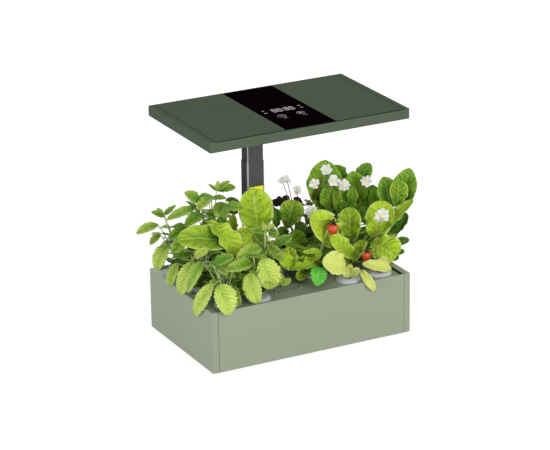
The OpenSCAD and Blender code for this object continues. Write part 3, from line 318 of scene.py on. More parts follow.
# %% [markdown]
# A finish is a Principled material with one of these groups in front of it.
# The helper takes the group's colour, roughness, drift and grain, and any
# other socket of the shader by its name. A constant, such as Metallic, goes
# straight onto the shader.

# %% Finish helper
def skin_of(tree, group, colour, roughness, drift=0.05, grain=0.12):
    """A surface group with its values, as the outputs of its node."""
    skin = put(tree, "Group", node_tree=group)
    for key, value in (("Colour", linear(*colour)), ("Drift", drift),
                       ("Roughness", roughness), ("Grain", grain)):
        skin.inputs[key].default_value = value
    return skin.outputs


def finish(name, group, *look, **shader):
    """A Principled material with a surface group in front of it."""
    made, tree = new_material(name)
    skin = skin_of(tree, group, *look)
    close_material(tree, {"Base Color": skin["Colour"], "Roughness": skin["Roughness"],
                          "Normal": skin["Normal"], **shader})
    return made


print("finish helper ready")

# %% [markdown]
# ## Finishes of the hardware
# One finish for each hard material of the object. The box and the lamp are
# powder coated sheet, satin on the box and matt on the lamp. The deck is a
# harder, glossier plastic, and the strip of glass on the lamp is all but
# black. Each could be a tree of its own, but made by one helper they differ in
# colour, gloss and grain alone. The post and the sticker get theirs later.

# %% Hardware finishes
LAMP_GREEN = (92, 104, 86)
FINISHES = {
    "panel_paint": finish("panel_paint", COATED, (157, 165, 142), 0.55, 0.03, 0.10),
    "lamp_paint": finish("lamp_paint", COATED, LAMP_GREEN, 0.6, 0.04, 0.10,
                         **{"Specular IOR Level": 0.0}),
    "deck_plastic": finish("deck_plastic", MOULDED, (154, 160, 144), 0.4, 0.05, 0.06,
                           **{"Specular IOR Level": 0.12}),
    "tank_plastic": finish("tank_plastic", MOULDED, (200, 206, 198), 0.5, 0.04),
    "dark_plastic": finish("dark_plastic", MOULDED, (44, 44, 47), 0.5, 0.08),
    "white_plastic": finish("white_plastic", MOULDED, (222, 222, 228), 0.45, 0.04),
    "collar_plastic": finish("collar_plastic", MOULDED, (206, 206, 220), 0.38, 0.05),
    "foot_rubber": finish("foot_rubber", MOULDED, (36, 36, 36), 0.85, 0.15, 0.4),
    "lead_jacket": finish("lead_jacket", MOULDED, (30, 30, 31), 0.6, 0.12, 0.2),
    "zinc_sheet": finish("zinc_sheet", DRAWN, (168, 170, 166), 0.4, 0.12, 0.2,
                         Metallic=0.9),
    "screw_steel": finish("screw_steel", DRAWN, (172, 171, 168), 0.32, 0.1, 0.2,
                          Metallic=1.0),
    "board_aluminium": finish("board_aluminium", DRAWN, (205, 206, 204), 0.42, 0.06, 0.2,
                              Metallic=0.8),
    "black_glass": finish("black_glass", MOULDED, (12, 4, 8), 0.3, 0.1, 0.0,
                          **{"Specular IOR Level": 0.0}),
    "circuit_board": finish("circuit_board", MOULDED, (34, 98, 58), 0.45, 0.3, 0.3),
    "white_chip": finish("white_chip", MOULDED, (250, 240, 190), 0.35, 0.08),
    "red_chip": finish("red_chip", MOULDED, (205, 52, 48), 0.35, 0.08),
    "diffuser_plastic": finish("diffuser_plastic", MOULDED, (236, 236, 232), 0.55, 0.03, 0.3),
    "foam": finish("foam", MOULDED, (92, 76, 56), 0.95, 0.4, 0.9),
}
print("hardware finishes:", len(FINISHES))

# %% [markdown]
# Between the lamp's top plates and its front rail is a thin shadow gap. It
# could be cut as a groove, but one a millimetre high would need many small
# faces and hardly show. So it is drawn in the rail's paint: the colour turns
# dark in the last millimetre under the top of the plates, which it finds by
# the height in Object coordinates.

# %% Rail paint with its shadow gap
GAP_DEPTH, GAP_BLUR = 1.1 * MM, 0.2 * MM
rail_paint, tree = new_material("lamp_rail_paint")
skin = skin_of(tree, COATED, LAMP_GREEN, 0.6, 0.04, 0.10)
z = put(tree, "SeparateXYZ", {0: put(tree, "TexCoord").outputs["Object"]}).outputs["Z"]
gap_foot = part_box("lamp_top_plates")[1][2] - GAP_DEPTH
gap = ramp(tree, z, gap_foot - GAP_BLUR, gap_foot + GAP_BLUR)
close_material(tree, {
    "Base Color": blend_colours(tree, gap, skin["Colour"], linear(40, 48, 38)),
    "Roughness": skin["Roughness"], "Normal": skin["Normal"], "Specular IOR Level": 0.0})
print("rail paint turns dark above", round(gap_foot / MM, 1), "mm")

# %% [markdown]
# The post is an extruded tube. Fine lines run down its faces. Its narrow sides
# are darker than its front, which is painted shade, and its rounded corners
# are paler, which is a painted highlight. Each zone could be a material slot,
# but that gives hard borders. The normal finds them softly: on a flat face one
# of x and y is 0, and halfway round a corner both are large.

# %% Post finish
post_paint, tree = new_material("post_paint")
skin = skin_of(tree, DRAWN, (85, 85, 87), 0.42, 0.1, 0.3)
facing = put(tree, "SeparateXYZ", {0: put(tree, "TexCoord").outputs["Normal"]}).outputs
corner = maths(tree, "ABSOLUTE", maths(tree, "MULTIPLY", facing["X"], facing["Y"]))
spot = put(tree, "SeparateXYZ", {0: put(tree, "TexCoord").outputs["Object"]}).outputs
lines = put(tree, "TexWave", {"Vector": put(tree, "CombineXYZ", {
    0: maths(tree, "ADD", spot["X"], spot["Y"])}).outputs[0], "Scale": 90.0,
    "Distortion": 1.5, "Detail": 3.0}).outputs["Fac"]
lined = blend_colours(tree, maths(tree, "MULTIPLY", lines, 0.07), skin["Colour"],
                      linear(140, 140, 144))
# Painted shade: the narrow sides, which face along x, are darker.
shaded_sides = ramp(tree, maths(tree, "ABSOLUTE", facing["X"]), 0.9, 0.99)
lined = blend_colours(tree, shaded_sides, lined, linear(52, 52, 54))
# Painted highlight: the rounded corners are paler.
corner_highlight = blend_colours(tree, ramp(tree, corner, 0.12, 0.34), lined, linear(178, 178, 180))
close_material(tree, {"Base Color": corner_highlight, "Roughness": skin["Roughness"],
                      "Normal": skin["Normal"], "Specular IOR Level": 0.03})
FINISHES["post_paint"] = post_paint
print("post finish ready")

# %% [markdown] ## Putting a piece in the scene Each piece of the object is a
# mesh with a material, and its object sits at the origin. The steps are the
# same for every piece, so one helper takes them.

# %% Piece helpers
def add_piece(name, mesh, material, body, slot, *stands_for):
    """Puts a mesh in the scene as a piece that rides on a body."""
    mesh.materials.clear()
    mesh.materials.append(material)
    piece = bpy.data.objects.new(name, mesh)
    scene.collection.objects.link(piece)
    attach(piece, body)
    if stands_for:
        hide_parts(*stands_for)
    return piece


def mesh_of(shape, name):
    """A bmesh as a mesh. The bmesh is freed."""
    mesh = bpy.data.meshes.new(name)
    shape.to_mesh(mesh)
    shape.free()
    return mesh


print("piece helpers ready")

# %% [markdown]
# ## Softening the edges of the solids
# A solid from CAD has perfectly sharp edges, and nothing real has. In a copy
# of the solid's mesh every edge sharper than a limit is bevelled by a fraction
# of a millimetre, so that it catches a thin line of light. A Bevel modifier
# could do that too. The operator is used because the mesh is loose triangles:
# they are merged and its flat faces joined again first, all in one bmesh.
# Shading is smooth only across the shallow joints of a curved face.

# %% Softened copies
FLAT_DEG, SMOOTH_DEG, SHARP_DEG = 0.5, 17, 35


def finished_copy(node, bevel, coat=None):
    """Stands for a CAD node: the same shape with soft edges and its finish."""
    mesh = nodes[node].data.copy()
    mesh.name = node + "_finished"
    shape = bmesh.new()
    shape.from_mesh(mesh)
    bmesh.ops.remove_doubles(shape, verts=shape.verts, dist=1e-6)
    bmesh.ops.dissolve_limit(shape, angle_limit=math.radians(FLAT_DEG),
                             verts=shape.verts, edges=shape.edges)
    sharp = [e for e in shape.edges
             if e.is_manifold and e.calc_face_angle(0) > math.radians(SHARP_DEG)]
    if bevel and sharp:
        bmesh.ops.bevel(shape, geom=sharp, offset=bevel * MM, offset_type="OFFSET",
                        affect="EDGES", segments=2, profile=0.5,
                        clamp_overlap=True, material=-1)
    for face in shape.faces:
        face.smooth = True
    for edge in shape.edges:
        edge.smooth = edge.is_manifold and edge.calc_face_angle(0) < math.radians(SMOOTH_DEG)
    shape.to_mesh(mesh)
    shape.free()
    slot = slot_of[node]
    return add_piece(node + "_finished", mesh, coat or FINISHES[slot], body_of[node], slot, node)


print("edges over", SHARP_DEG, "degrees are softened")

# %% [markdown]
# How wide an edge is softened depends on how the part is made: folded sheet
# and rubber are rounder than a cut board. The chips and the leads are too
# small or round already.

# %% Softening all the hardware
SOFT = {
    0.6: ["front_panel", "back_panel", "left_end_panel", "right_end_panel", "rubber_feet"],
    0.5: ["lamp_back_rail", "lamp_left_end", "lamp_right_end",
          "pod_collars", "pump_body"],
    0.3: ["lamp_top_plates", "touch_glass", "grow_deck", "post_upper_tube",
          "post_lower_tube", "post_socket", "lamp_bracket", "net_baskets", "water_tank",
          "slide_block", "diffuser", "outlet_pipe", "level_float", "level_stem",
          "corner_straps", "base_pan", "dc_inlet", "inlet_nut", "pump_rotor",
          "case_screws", "socket_screws", "bracket_screws"],
    0.15: ["light_board", "driver_board", "display_board", "pump_cups", "sponges"],
}
for width, names in SOFT.items():
    for name in names:
        finished_copy(name, width)
for name in ("white_leds", "red_leds", "inlet_pin", "post_lead", "pump_lead", "lamp_lead"):
    finished_copy(name, 0)
print("softened copies:", sum(len(v) for v in SOFT.values()))

# %% [markdown]
# Three copies get a coat of their own. The fill lid turns on a pin darkened
# with painted shade, and the lamp's front rail has the paint with the shadow
# gap. The knuckles along the lid's far edge are darker than the lid: painted
# shade that keeps the lit hinge as dim as a shaded joint. They could be a
# piece of their own, but the lid is moulded in one. So they get a second
# material slot, and the faces behind a line across the lid are set to it.

# %% Lid pin, front rail and fill lid
KNUCKLE_DEPTH = 4.2 * MM
# Painted shade: the pin and the knuckles are darker, so the hinge stays dim.
pin_shade = finish("pin_shade_steel", DRAWN, (62, 64, 60), 0.55, 0.1, 0.2, Metallic=0.3)
knuckle_shade_plastic = finish("knuckle_shade_plastic", MOULDED, (104, 109, 96), 0.6, 0.05, 0.1,
                         **{"Specular IOR Level": 0.05})
finished_copy("lid_pin", 0, coat=pin_shade)
finished_copy("lamp_front_rail", 0.5, coat=rail_paint)
lid = finished_copy("fill_lid", 0.3).data
lid.materials.append(knuckle_shade_plastic)
knuckles_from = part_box("fill_lid")[1][1] - KNUCKLE_DEPTH
for face in lid.polygons:
    if face.center.y > knuckles_from:
        face.material_index = 1
print("knuckle faces:", sum(face.material_index for face in lid.polygons))

# %% [markdown]
# ## The sticker on the post
# A plain yellow sticker with rounded corners. Its only print is a column of
# bare tick marks. They could be thin boxes, but print has no thickness. So the
# material draws them: a repeating stripe along the height, kept to a narrow
# band near the left edge.

# %% Sticker paper
TICK_STEP, TICK_SHARE = 3.4 * MM, 0.16
TICKS_FROM, TICKS_TO = -10 * MM, -4 * MM
sticker_paper, tree = new_material("sticker")
place = put(tree, "SeparateXYZ", {0: put(tree, "TexCoord").outputs["Object"]}).outputs
rung = maths(tree, "FRACT", maths(tree, "MULTIPLY", place["Z"], 1 / TICK_STEP))
band = maths(tree, "MULTIPLY", maths(tree, "GREATER_THAN", place["X"], TICKS_FROM),
             maths(tree, "LESS_THAN", place["X"], TICKS_TO))
tick = maths(tree, "MULTIPLY", maths(tree, "LESS_THAN", rung, TICK_SHARE), band)
drift = put(tree, "TexNoise", {"Scale": 60.0, "Detail": 3.0}).outputs[0]
yellow = blend_colours(tree, drift, linear(255, 250, 60), linear(248, 236, 44))
# Painted light: a faint yellow glow brightens the sticker where leaves shade it.
close_material(tree, {
    "Base Color": blend_colours(tree, tick, yellow, linear(150, 128, 24)),
    "Roughness": 0.4, "Emission Color": linear(255, 244, 40), "Emission Strength": 0.12})
FINISHES["sticker"] = sticker_paper
print("ticks every", TICK_STEP / MM, "mm")

# %% [markdown]
# The sticker itself could be a plane, but a flat box with the size of its
# solid also shows the paper's thickness. Only the four short edges that run
# through the paper are bevelled, which rounds its corners.

# %% Sticker
low, high = (Vector(corner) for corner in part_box("post_label"))
size, middle = high - low, (high + low) / 2
bm = bmesh.new()
bmesh.ops.create_cube(bm, size=1, matrix=Matrix.Translation(middle) @ Matrix.Diagonal(
    (size.x, size.y, size.z, 1)))
corners = [e for e in bm.edges if abs((e.verts[0].co - e.verts[1].co).normalized().y) > 0.9]
bmesh.ops.bevel(bm, geom=corners, offset=2 * MM, offset_type="OFFSET", affect="EDGES",
                segments=5, profile=0.5, material=-1)
add_piece("sticker", mesh_of(bm, "sticker"), sticker_paper, body_of["post_label"],
          slot_of["post_label"], "post_label")
print("sticker", [round(v / MM, 1) for v in size], "mm")

# %% [markdown]
# ## The display under the glass
# White figures shine through the glass strip: four digits of seven bars each,
# and a few line icons for the touch places. The glass's material could draw
# them, but shapes stay crisp from near by. Their ink is a slightly uneven
# white with a faint glow, and the icons in front of the digits are dimmer.

# %% Display ink
DIM_BELOW = -36 * MM
glass_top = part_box("touch_glass")[1][2]
display_white, tree = new_material("display_white")
glow = put(tree, "TexNoise", {"Scale": 300.0, "Detail": 1.0}).outputs[0]
ink = blend_colours(tree, glow, linear(214, 210, 212), linear(240, 238, 240))
y = put(tree, "SeparateXYZ", {0: put(tree, "TexCoord").outputs["Object"]}).outputs["Y"]
dim = ramp(tree, y, DIM_BELOW + 2 * MM, DIM_BELOW - 2 * MM)
ink = blend_colours(tree, dim, ink, linear(132, 128, 130))
close_material(tree, {"Base Color": ink, "Emission Color": ink, "Emission Strength": 0.12,
                      "Roughness": 0.5})
print("top of the glass at", round(glass_top / MM, 1), "mm")

# %% [markdown]
# All the figures share one bmesh. A bar is a cube that lies a hair above the
# glass, with its four upright edges cut off. A ring is a small square, stood
# on edge and spun all the way round. Curves could draw both, but would have to
# be made meshes later.

# %% Bars and rings
bm = bmesh.new()
RAISE = 0.12 * MM


def bar(x, y, length, width, turn=0.0):
    """A flat bar on the glass: its middle, its size in mm, and its turn."""
    place = (Matrix.Translation((x * MM, y * MM, glass_top + RAISE / 2))
             @ Matrix.Rotation(math.radians(turn), 4, "Z")
             @ Matrix.Diagonal((length * MM, width * MM, RAISE, 1)))
    made = bmesh.ops.create_cube(bm, size=1, matrix=place)["verts"]
    upright = [e for e in {e for v in made for e in v.link_edges}
               if abs((e.verts[0].co - e.verts[1].co).z) > RAISE / 2]
    bmesh.ops.bevel(bm, geom=upright, offset=0.3 * width * MM, offset_type="OFFSET",
                    affect="EDGES", segments=1, profile=0.5, material=-1)


def ring(x, y, radius, width):
    """A flat ring on the glass: a small square profile, spun all the way."""
    made = bmesh.ops.create_grid(bm, x_segments=1, y_segments=1, size=0.5, matrix=(
        Matrix.Translation(((x + radius) * MM, y * MM, glass_top + RAISE / 2))
        @ Matrix.Rotation(math.radians(90), 4, "X")
        @ Matrix.Diagonal((width * MM, RAISE, 1, 1))))["verts"]
    faces = list({f for v in made for f in v.link_faces})
    edges = list({e for v in made for e in v.link_edges})
    bmesh.ops.delete(bm, geom=faces, context="FACES_ONLY")
    bmesh.ops.spin(bm, geom=edges, cent=(x * MM, y * MM, 0), axis=(0, 0, 1),
                   angle=math.tau, steps=28, use_merge=True)


print("bars and rings stand", RAISE / MM, "mm over the glass")

# %% [markdown]
# A digit is seven bars with gaps between their ends. Captions are short rows
# of dashes. They say nothing, and only show where a caption would be.

# %% Digits, icons and dashes
DIGIT_W, DIGIT_H, STROKE = 6.2, 15.5, 1.6


def digit(x, y):
    """Three level bars and four upright ones."""
    half = DIGIT_H / 2
    for row in (-1, 0, 1):
        bar(x, y + row * half, DIGIT_W, STROKE)
    for side in (-1, 1):
        for row in (-1, 1):
            bar(x + side * (DIGIT_W / 2 + 0.6), y + row * half / 2, STROKE, half - 2)


def dashes(x, y, count):
    """A short row of dashes, which stands for a caption without saying anything."""
    for i in range(count):
        bar(x + 2.1 * (i - (count - 1) / 2), y, 1.5, 2.2)


for x in (-17.5, -7.2, 7.6, 17.9):
    digit(x, -20.5)
for y in (-25.5, -16):
    bar(0.2, y, 1.8, 1.8)
for x, y in ((-36.5, -13.5), (-37, -26.7), (35.6, -14), (35.4, -26)):
    dashes(x, y, 3)
ring(-19.5, -54, 7.2, 1.1)
bar(-17.9, -54, 4.4, 1.1, 0)
bar(-19.5, -51.6, 5.2, 1.1, 90)
ring(19.3, -52.5, 7, 1.1)
ring(19.3, -52.5, 1.5, 3)
dashes(-17.5, -67.3, 4)
dashes(21.5, -66.7, 4)
bmesh.ops.recalc_face_normals(bm, faces=bm.faces)
figures = add_piece("display_figures", mesh_of(bm, "display_figures"), display_white, "lamp",
                    "black_glass")
print("display faces:", len(figures.data.polygons))

# %% [markdown]
# ## Leaf finishes
# A leaf has veins, a paler rim and puffed flesh. On Object coordinates such a
# pattern would run straight through all the leaves, so it is drawn in their
# own UV map: u runs from stalk to tip and v from edge to edge. An attribute
# named tone, one value a leaf, says how bright the leaf is: partly how young it
# is, and partly painted shade, low for leaves deep in the plant. Patches and
# fine noise come from the place on the object, so that no two leaves are
# spotted alike.

# %% Leaf group
PATCH_SCALE, FINE_SCALE, VEIN_WOBBLE = 55.0, 230.0, 1.9
LEAF, given, result = new_group(
    "leaf_pattern",
    [("Dark", "Color", (0, 0, 0, 1)), ("Light", "Color", (1, 1, 1, 1)),
     ("Vein", "Color", (1, 1, 1, 1)), ("Rim", "Color", (1, 1, 1, 1)),
     ("Veins", "Float", 8.0), ("Slant", "Float", 2.2), ("Vein strength", "Float", 0.5),
     ("Rim strength", "Float", 0.5), ("Pucker", "Float", 0.5), ("Gloss", "Float", 0.45),
     ("Contrast", "Float", 0.3)],
    [("Colour", "Color"), ("Roughness", "Float"), ("Normal", "Vector")])
uv = put(LEAF, "UVMap", uv_map="leaf").outputs[0]
along_across = put(LEAF, "SeparateXYZ", {0: uv}).outputs
side = maths(LEAF, "MULTIPLY",
             maths(LEAF, "ABSOLUTE", maths(LEAF, "SUBTRACT", along_across["Y"], 0.5)), 2.0)
tone = put(LEAF, "Attribute", attribute_name="tone").outputs["Fac"]
spot = put(LEAF, "TexCoord").outputs["Object"]
patch = put(LEAF, "TexNoise", {"Vector": spot, "Scale": PATCH_SCALE, "Detail": 4.0}).outputs[0]
patch = maths(LEAF, "SUBTRACT", patch, 0.5)
wobble = maths(LEAF, "MULTIPLY", patch, VEIN_WOBBLE)
fine = put(LEAF, "TexNoise", {"Vector": spot, "Scale": FINE_SCALE, "Detail": 3.0}).outputs[0]
fine = maths(LEAF, "SUBTRACT", fine, 0.5)
print("leaf coordinates, patches and fine noise ready")

# %% [markdown]
# Side veins leave the midrib at a slant. They are a sawtooth that counts along
# the leaf, shifted by the distance from the midrib, plus a little noise so
# that no two are alike. *near* is 0 between two veins and 1 on a vein. The
# midrib is a narrow band in the middle, and the net of fine veins is the
# borders of Voronoi cells. A painted picture could show all this, but only at
# one size.

# %% Veins and cells
NET_CELLS, MIDRIB_HALF = 15.0, (0.13, 0.04)
phase = maths(LEAF, "SUBTRACT", maths(LEAF, "MULTIPLY", along_across["X"], given["Veins"]),
              maths(LEAF, "MULTIPLY", side, given["Slant"]))
saw = maths(LEAF, "FRACT", maths(LEAF, "ADD", maths(LEAF, "ADD", phase, wobble), 20.0))
near = maths(LEAF, "MULTIPLY", maths(LEAF, "ABSOLUTE", maths(LEAF, "SUBTRACT", saw, 0.5)), 2.0)
side_vein = maths(LEAF, "MULTIPLY", ramp(LEAF, near, 0.80, 1.0), 0.75)
midrib = ramp(LEAF, side, *MIDRIB_HALF)
veins = maths(LEAF, "MAXIMUM", side_vein, midrib)
cells = put(LEAF, "TexVoronoi", {"Vector": put(
    LEAF, "Mapping", {"Vector": uv, "Scale": (1.6, 1, 1)}).outputs[0], "Scale": NET_CELLS},
    feature="DISTANCE_TO_EDGE").outputs["Distance"]
net = ramp(LEAF, cells, 0.12, 0.0)
print("veins, midrib and net ready")

# %% [markdown]
# How light the flesh is starts from the leaf's tone. Patches, fine noise, the
# distance from the stalk and from the midrib are added: the last two are
# painted shade, darker towards the stalk and along the midrib's fold. The flesh
# is also darker beside a vein, painted shade in the creases. Veins and rim are
# laid over it in colours of their own, and the rim is dimmed with the tone.

# %% Leaf colour
light = maths(LEAF, "ADD", tone, maths(LEAF, "MULTIPLY", patch, 0.8))
light = maths(LEAF, "ADD", light, maths(LEAF, "MULTIPLY", fine, 0.9))
# Painted shade: the flesh is darker towards the stalk.
light = maths(LEAF, "ADD", light, maths(LEAF, "MULTIPLY", maths(
    LEAF, "SUBTRACT", along_across["X"], 0.55), 0.5))
# Painted shade in the creases beside each vein.
crease_shade = maths(LEAF, "MULTIPLY", near, maths(LEAF, "MULTIPLY", given["Vein strength"], 0.45))
light = maths(LEAF, "SUBTRACT", light, crease_shade)
# Painted shade along the midrib's fold, lighter towards the rim.
light = maths(LEAF, "ADD", light, maths(LEAF, "MULTIPLY", maths(
    LEAF, "SUBTRACT", side, 0.45), given["Contrast"]), clamp=True)
flesh = blend_colours(LEAF, light, given["Dark"], given["Light"])
mask = maths(LEAF, "MULTIPLY", maths(LEAF, "MAXIMUM", veins, maths(
    LEAF, "MULTIPLY", net, 0.3)), given["Vein strength"])
flesh = blend_colours(LEAF, mask, flesh, given["Vein"])
edge = maths(LEAF, "MULTIPLY", ramp(LEAF, side, 0.80, 1.0), given["Rim strength"])
# The rim is dimmed with the tone, which carries painted shade.
edge = maths(LEAF, "MULTIPLY", edge, maths(LEAF, "ADD", tone, 0.25, clamp=True))
flesh = blend_colours(LEAF, edge, flesh, given["Rim"])
print("leaf colour ready")

# %% [markdown]
# The flesh is puffed up between the veins and sinks along them and along the
# net. Displacement could raise it in the mesh, but every leaf would need a far
# finer grid. A bump node makes a normal of it, and the patches make the gloss
# uneven.

# %% Leaf relief
PUFF_HEIGHT = 0.9 * MM
puff = maths(LEAF, "SUBTRACT", 1.0, maths(LEAF, "MULTIPLY", near, near))
height = maths(LEAF, "SUBTRACT", maths(LEAF, "ADD", puff, maths(LEAF, "MULTIPLY", patch, 1.2)),
               maths(LEAF, "MAXIMUM", veins, maths(LEAF, "MULTIPLY", net, 0.35)))
bump = put(LEAF, "Bump", {"Height": height, "Strength": given["Pucker"],
                          "Distance": PUFF_HEIGHT})
rough = maths(LEAF, "ADD", given["Gloss"], maths(LEAF, "MULTIPLY", patch, 0.3), clamp=True)
for title, socket in (("Colour", flesh), ("Roughness", rough), ("Normal", bump.outputs[0])):
    LEAF.links.new(socket, result[title])
print("nodes in the leaf pattern:", len(LEAF.nodes))

# %% [markdown]
# One call makes the finish of one kind of leaf: the darkest and lightest
# flesh, the colours of veins and rim, how many side veins there are and how
# much they slant. The rest says how strongly each of these shows.

# %% Leaf finishes
def leaf_finish(name, dark, light, vein, rim, veins=8, slant=2.2, vein_strength=0.5,
                rim_strength=0.5, pucker=0.5, gloss=0.45, contrast=0.3):
    """A Principled material with the leaf pattern in front of it."""
    made, tree = new_material(name)
    skin = put(tree, "Group", node_tree=LEAF)
    for key, value in (("Dark", linear(*dark)), ("Light", linear(*light)),
                       ("Vein", linear(*vein)), ("Rim", linear(*rim)), ("Veins", veins),
                       ("Slant", slant), ("Vein strength", vein_strength),
                       ("Rim strength", rim_strength), ("Pucker", pucker), ("Gloss", gloss),
                       ("Contrast", contrast)):
        skin.inputs[key].default_value = value
    close_material(tree, {
        "Base Color": skin.outputs["Colour"], "Roughness": skin.outputs["Roughness"],
        "Normal": skin.outputs["Normal"], "Specular IOR Level": 0.35})
    return made


BALM_LEAF = leaf_finish("balm_leaf", (98, 164, 16), (226, 248, 112), (104, 160, 48),
                        (224, 242, 160), 8, 2.2, 0.17, 0.7, 1.0, 0.42, 0.5)
LETTUCE_LEAF = leaf_finish("lettuce_leaf", (54, 118, 8), (196, 230, 46), (204, 232, 92),
                           (224, 240, 140), 6, 1.6, 0.4, 0.85, 1.0, 0.34, 0.4)
CHARD_LEAF = leaf_finish("chard_leaf", (52, 116, 10), (166, 214, 52), (176, 214, 86),
                         (170, 212, 80), 8, 1.8, 0.45, 0.4, 1.0, 0.34, 0.4)
BERRY_LEAF = leaf_finish("strawberry_leaf", (40, 170, 20), (124, 240, 76), (160, 244, 130),
                         (120, 226, 96), 7, 2.4, 0.6, 0.4, 1.0, 0.4, 0.4)
YOUNG_LEAF = leaf_finish("young_leaf", (120, 154, 30), (226, 238, 112), (240, 244, 180),
                         (244, 246, 190), 6, 2.0, 0.35, 0.6, 0.6, 0.4, 0.4)
BASIL_LEAF = leaf_finish("basil_leaf", (20, 8, 14), (84, 44, 62), (104, 58, 72),
                         (70, 36, 50), 6, 2.0, 0.4, 0.3, 0.8, 0.35)
CALYX_LEAF = leaf_finish("calyx_leaf", (30, 40, 14), (96, 116, 44), (110, 126, 60),
                         (84, 92, 36), 5, 2.0, 0.4, 0.4, 0.6, 0.45)
PETAL = leaf_finish("petal", (232, 234, 226), (254, 254, 255), (240, 242, 234),
                    (255, 255, 255), 3, 0.2, 0.2, 0.2, 0.2, 0.6)
print("leaf finishes ready")

# %% [markdown]
# ## Making one leaf
# Each leaf could be sculpted, but there are several hundred of them. So a rule
# makes them, and what all leaves of a kind share is kept in a style: how far
# along the outline is widest, the grid, the teeth, and how much the leaf is
# ruffled, folded, hollowed and twisted. A smaller blunt gives rounder ends.

# %% Leaf styles
class LeafStyle:
    """What all the leaves of one kind have in common."""

    def __init__(self, full, columns=14, rows=6, teeth=0, depth=0.0, ruffle=0.0,
                 waves=3.0, fold=14, hollow=0.0, blunt=0.7, warp=0.0):
        self.full, self.columns, self.rows, self.warp = full, columns, rows, warp
        self.teeth, self.depth, self.ruffle, self.waves = teeth, depth, ruffle, waves
        self.fold, self.hollow, self.blunt = math.radians(fold), hollow, blunt


BALM = LeafStyle(0.85, 48, 8, teeth=10, depth=0.20, ruffle=0.04, waves=4, fold=14, blunt=0.62,
                 warp=0.35)
LETTUCE = LeafStyle(1.5, 28, 12, ruffle=0.11, waves=3.4, fold=12, hollow=0.08, blunt=0.5,
                    warp=0.45)
CHARD = LeafStyle(1.15, 26, 10, ruffle=0.11, waves=2.6, fold=16, hollow=0.05, blunt=0.62,
                  warp=0.6)
STRAWBERRY = LeafStyle(1.0, 36, 8, teeth=7, depth=0.26, ruffle=0.05, waves=2, fold=16,
                       blunt=0.6)
YOUNG = LeafStyle(1.1, 40, 8, teeth=10, depth=0.13, ruffle=0.08, waves=3, fold=12,
                  hollow=0.06, blunt=0.55)
BASIL = LeafStyle(1.3, 16, 8, ruffle=0.12, waves=4.5, fold=10)
PETALS = LeafStyle(1.3, 10, 5, ruffle=0.05, waves=1.4, fold=-8, blunt=0.6)
print("a balm leaf is a grid of", BALM.columns, "by", BALM.rows)

# %% [markdown]
# The shape of a leaf is a rule that says where the point at u and s lies: u
# runs from stalk to tip, and s from one edge, -1, to the other, 1. The midrib
# bends down in an even arc, the outline's width takes the point out to the
# side, and the fold, the twist and the ruffles lift it. Teeth come from
# letting the width rise and fall near the edge.

# %% Leaf shape
LEAST_HALF_WIDTH = 0.25 * MM


def leaf_point(style, u, s, length, width, bend, shift, warp):
    """The point at u and s of a leaf that lies along x with its foot at 0."""
    angle = bend * u
    if abs(bend) > 1e-3:
        along, drop = math.sin(angle) / bend, (1 - math.cos(angle)) / bend
    else:
        along, drop = u, 0
    span = 0.5 * max(math.sin(math.pi * u ** style.full), 0) ** style.blunt
    saw = (u * style.teeth) % 1 if style.teeth else 0
    span *= 1 + style.depth * (saw - 0.6) * min(1, abs(s) ** 3)
    out = max(span * width, LEAST_HALF_WIDTH)
    lift = (abs(s) * out * math.sin(style.fold) + warp * s * out * u
            + style.hollow * width * (s * s - 0.5) * math.sin(math.pi * u)
            + style.ruffle * width * abs(s) ** 2.5 * math.sin(math.pi * min(u * 1.2, 1))
            * math.sin(math.tau * style.waves * u + shift + (1.3 if s > 0 else 0)))
    return Vector((along * length + math.sin(angle) * lift, s * out * math.cos(style.fold),
                   -drop * length + math.cos(angle) * lift))


tip = leaf_point(LETTUCE, 1, 0, 100, 50, math.radians(60), 0, 0)
print("the tip of a curled leaf of 100 lies at", [round(v) for v in tip])

# %% [markdown]
# A leaf starts as a flat grid. Its columns follow each other from stalk to
# tip, and its rows from edge to edge. The grid's own place gives each face
# corner its UV, and then every vertex moves to its leaf point. Copies of one
# leaf would be lighter, but all would be ruffled alike. Small filler leaves
# take a grid half as fine.

# %% Leaf maker
def start_leaves():
    """An empty bmesh with the two layers that the leaf pattern reads."""
    shape = bmesh.new()
    shape.loops.layers.uv.new("leaf")
    shape.verts.layers.float.new("tone")
    return shape


def add_leaf(shape, style, place, length, width, curl, tone, rng, coarse=1):
    """One leaf in shape. place takes its foot and heading, sizes in metres."""
    uv_layer = shape.loops.layers.uv["leaf"]
    tone_layer = shape.verts.layers.float["tone"]
    grid = bmesh.ops.create_grid(shape, x_segments=style.columns // coarse,
                                 y_segments=style.rows // coarse, size=0.5)["verts"]
    for face in {f for v in grid for f in v.link_faces}:
        face.smooth = True
        for loop in face.loops:
            loop[uv_layer].uv = (loop.vert.co.x + 0.5, loop.vert.co.y + 0.5)
    shift = rng.uniform(0, math.tau)
    warp = style.warp * math.sin(7 * shift)
    for vert in grid:
        vert.co = place @ leaf_point(style, vert.co.x + 0.5, 2 * vert.co.y, length, width,
                                     math.radians(curl), shift, warp)
        vert[tone_layer] = tone


def leaf_place(x, y, z, heading, climb, twist, curl):
    """The matrix of a leaf: foot in metres, heading, climb of its chord, twist."""
    return (Matrix.Translation((x, y, z))
            @ Matrix.Rotation(math.radians(heading), 4, "Z")
            @ Matrix.Rotation(-math.radians(climb + curl / 2), 4, "Y")
            @ Matrix.Rotation(math.radians(twist), 4, "X"))


print("leaf maker ready")

# %% [markdown]
# All leaves of a kind share one mesh. They could be extruded to their
# thickness, but a Solidify modifier does it last, so the rule above has to
# shape one face only. It also closes them.

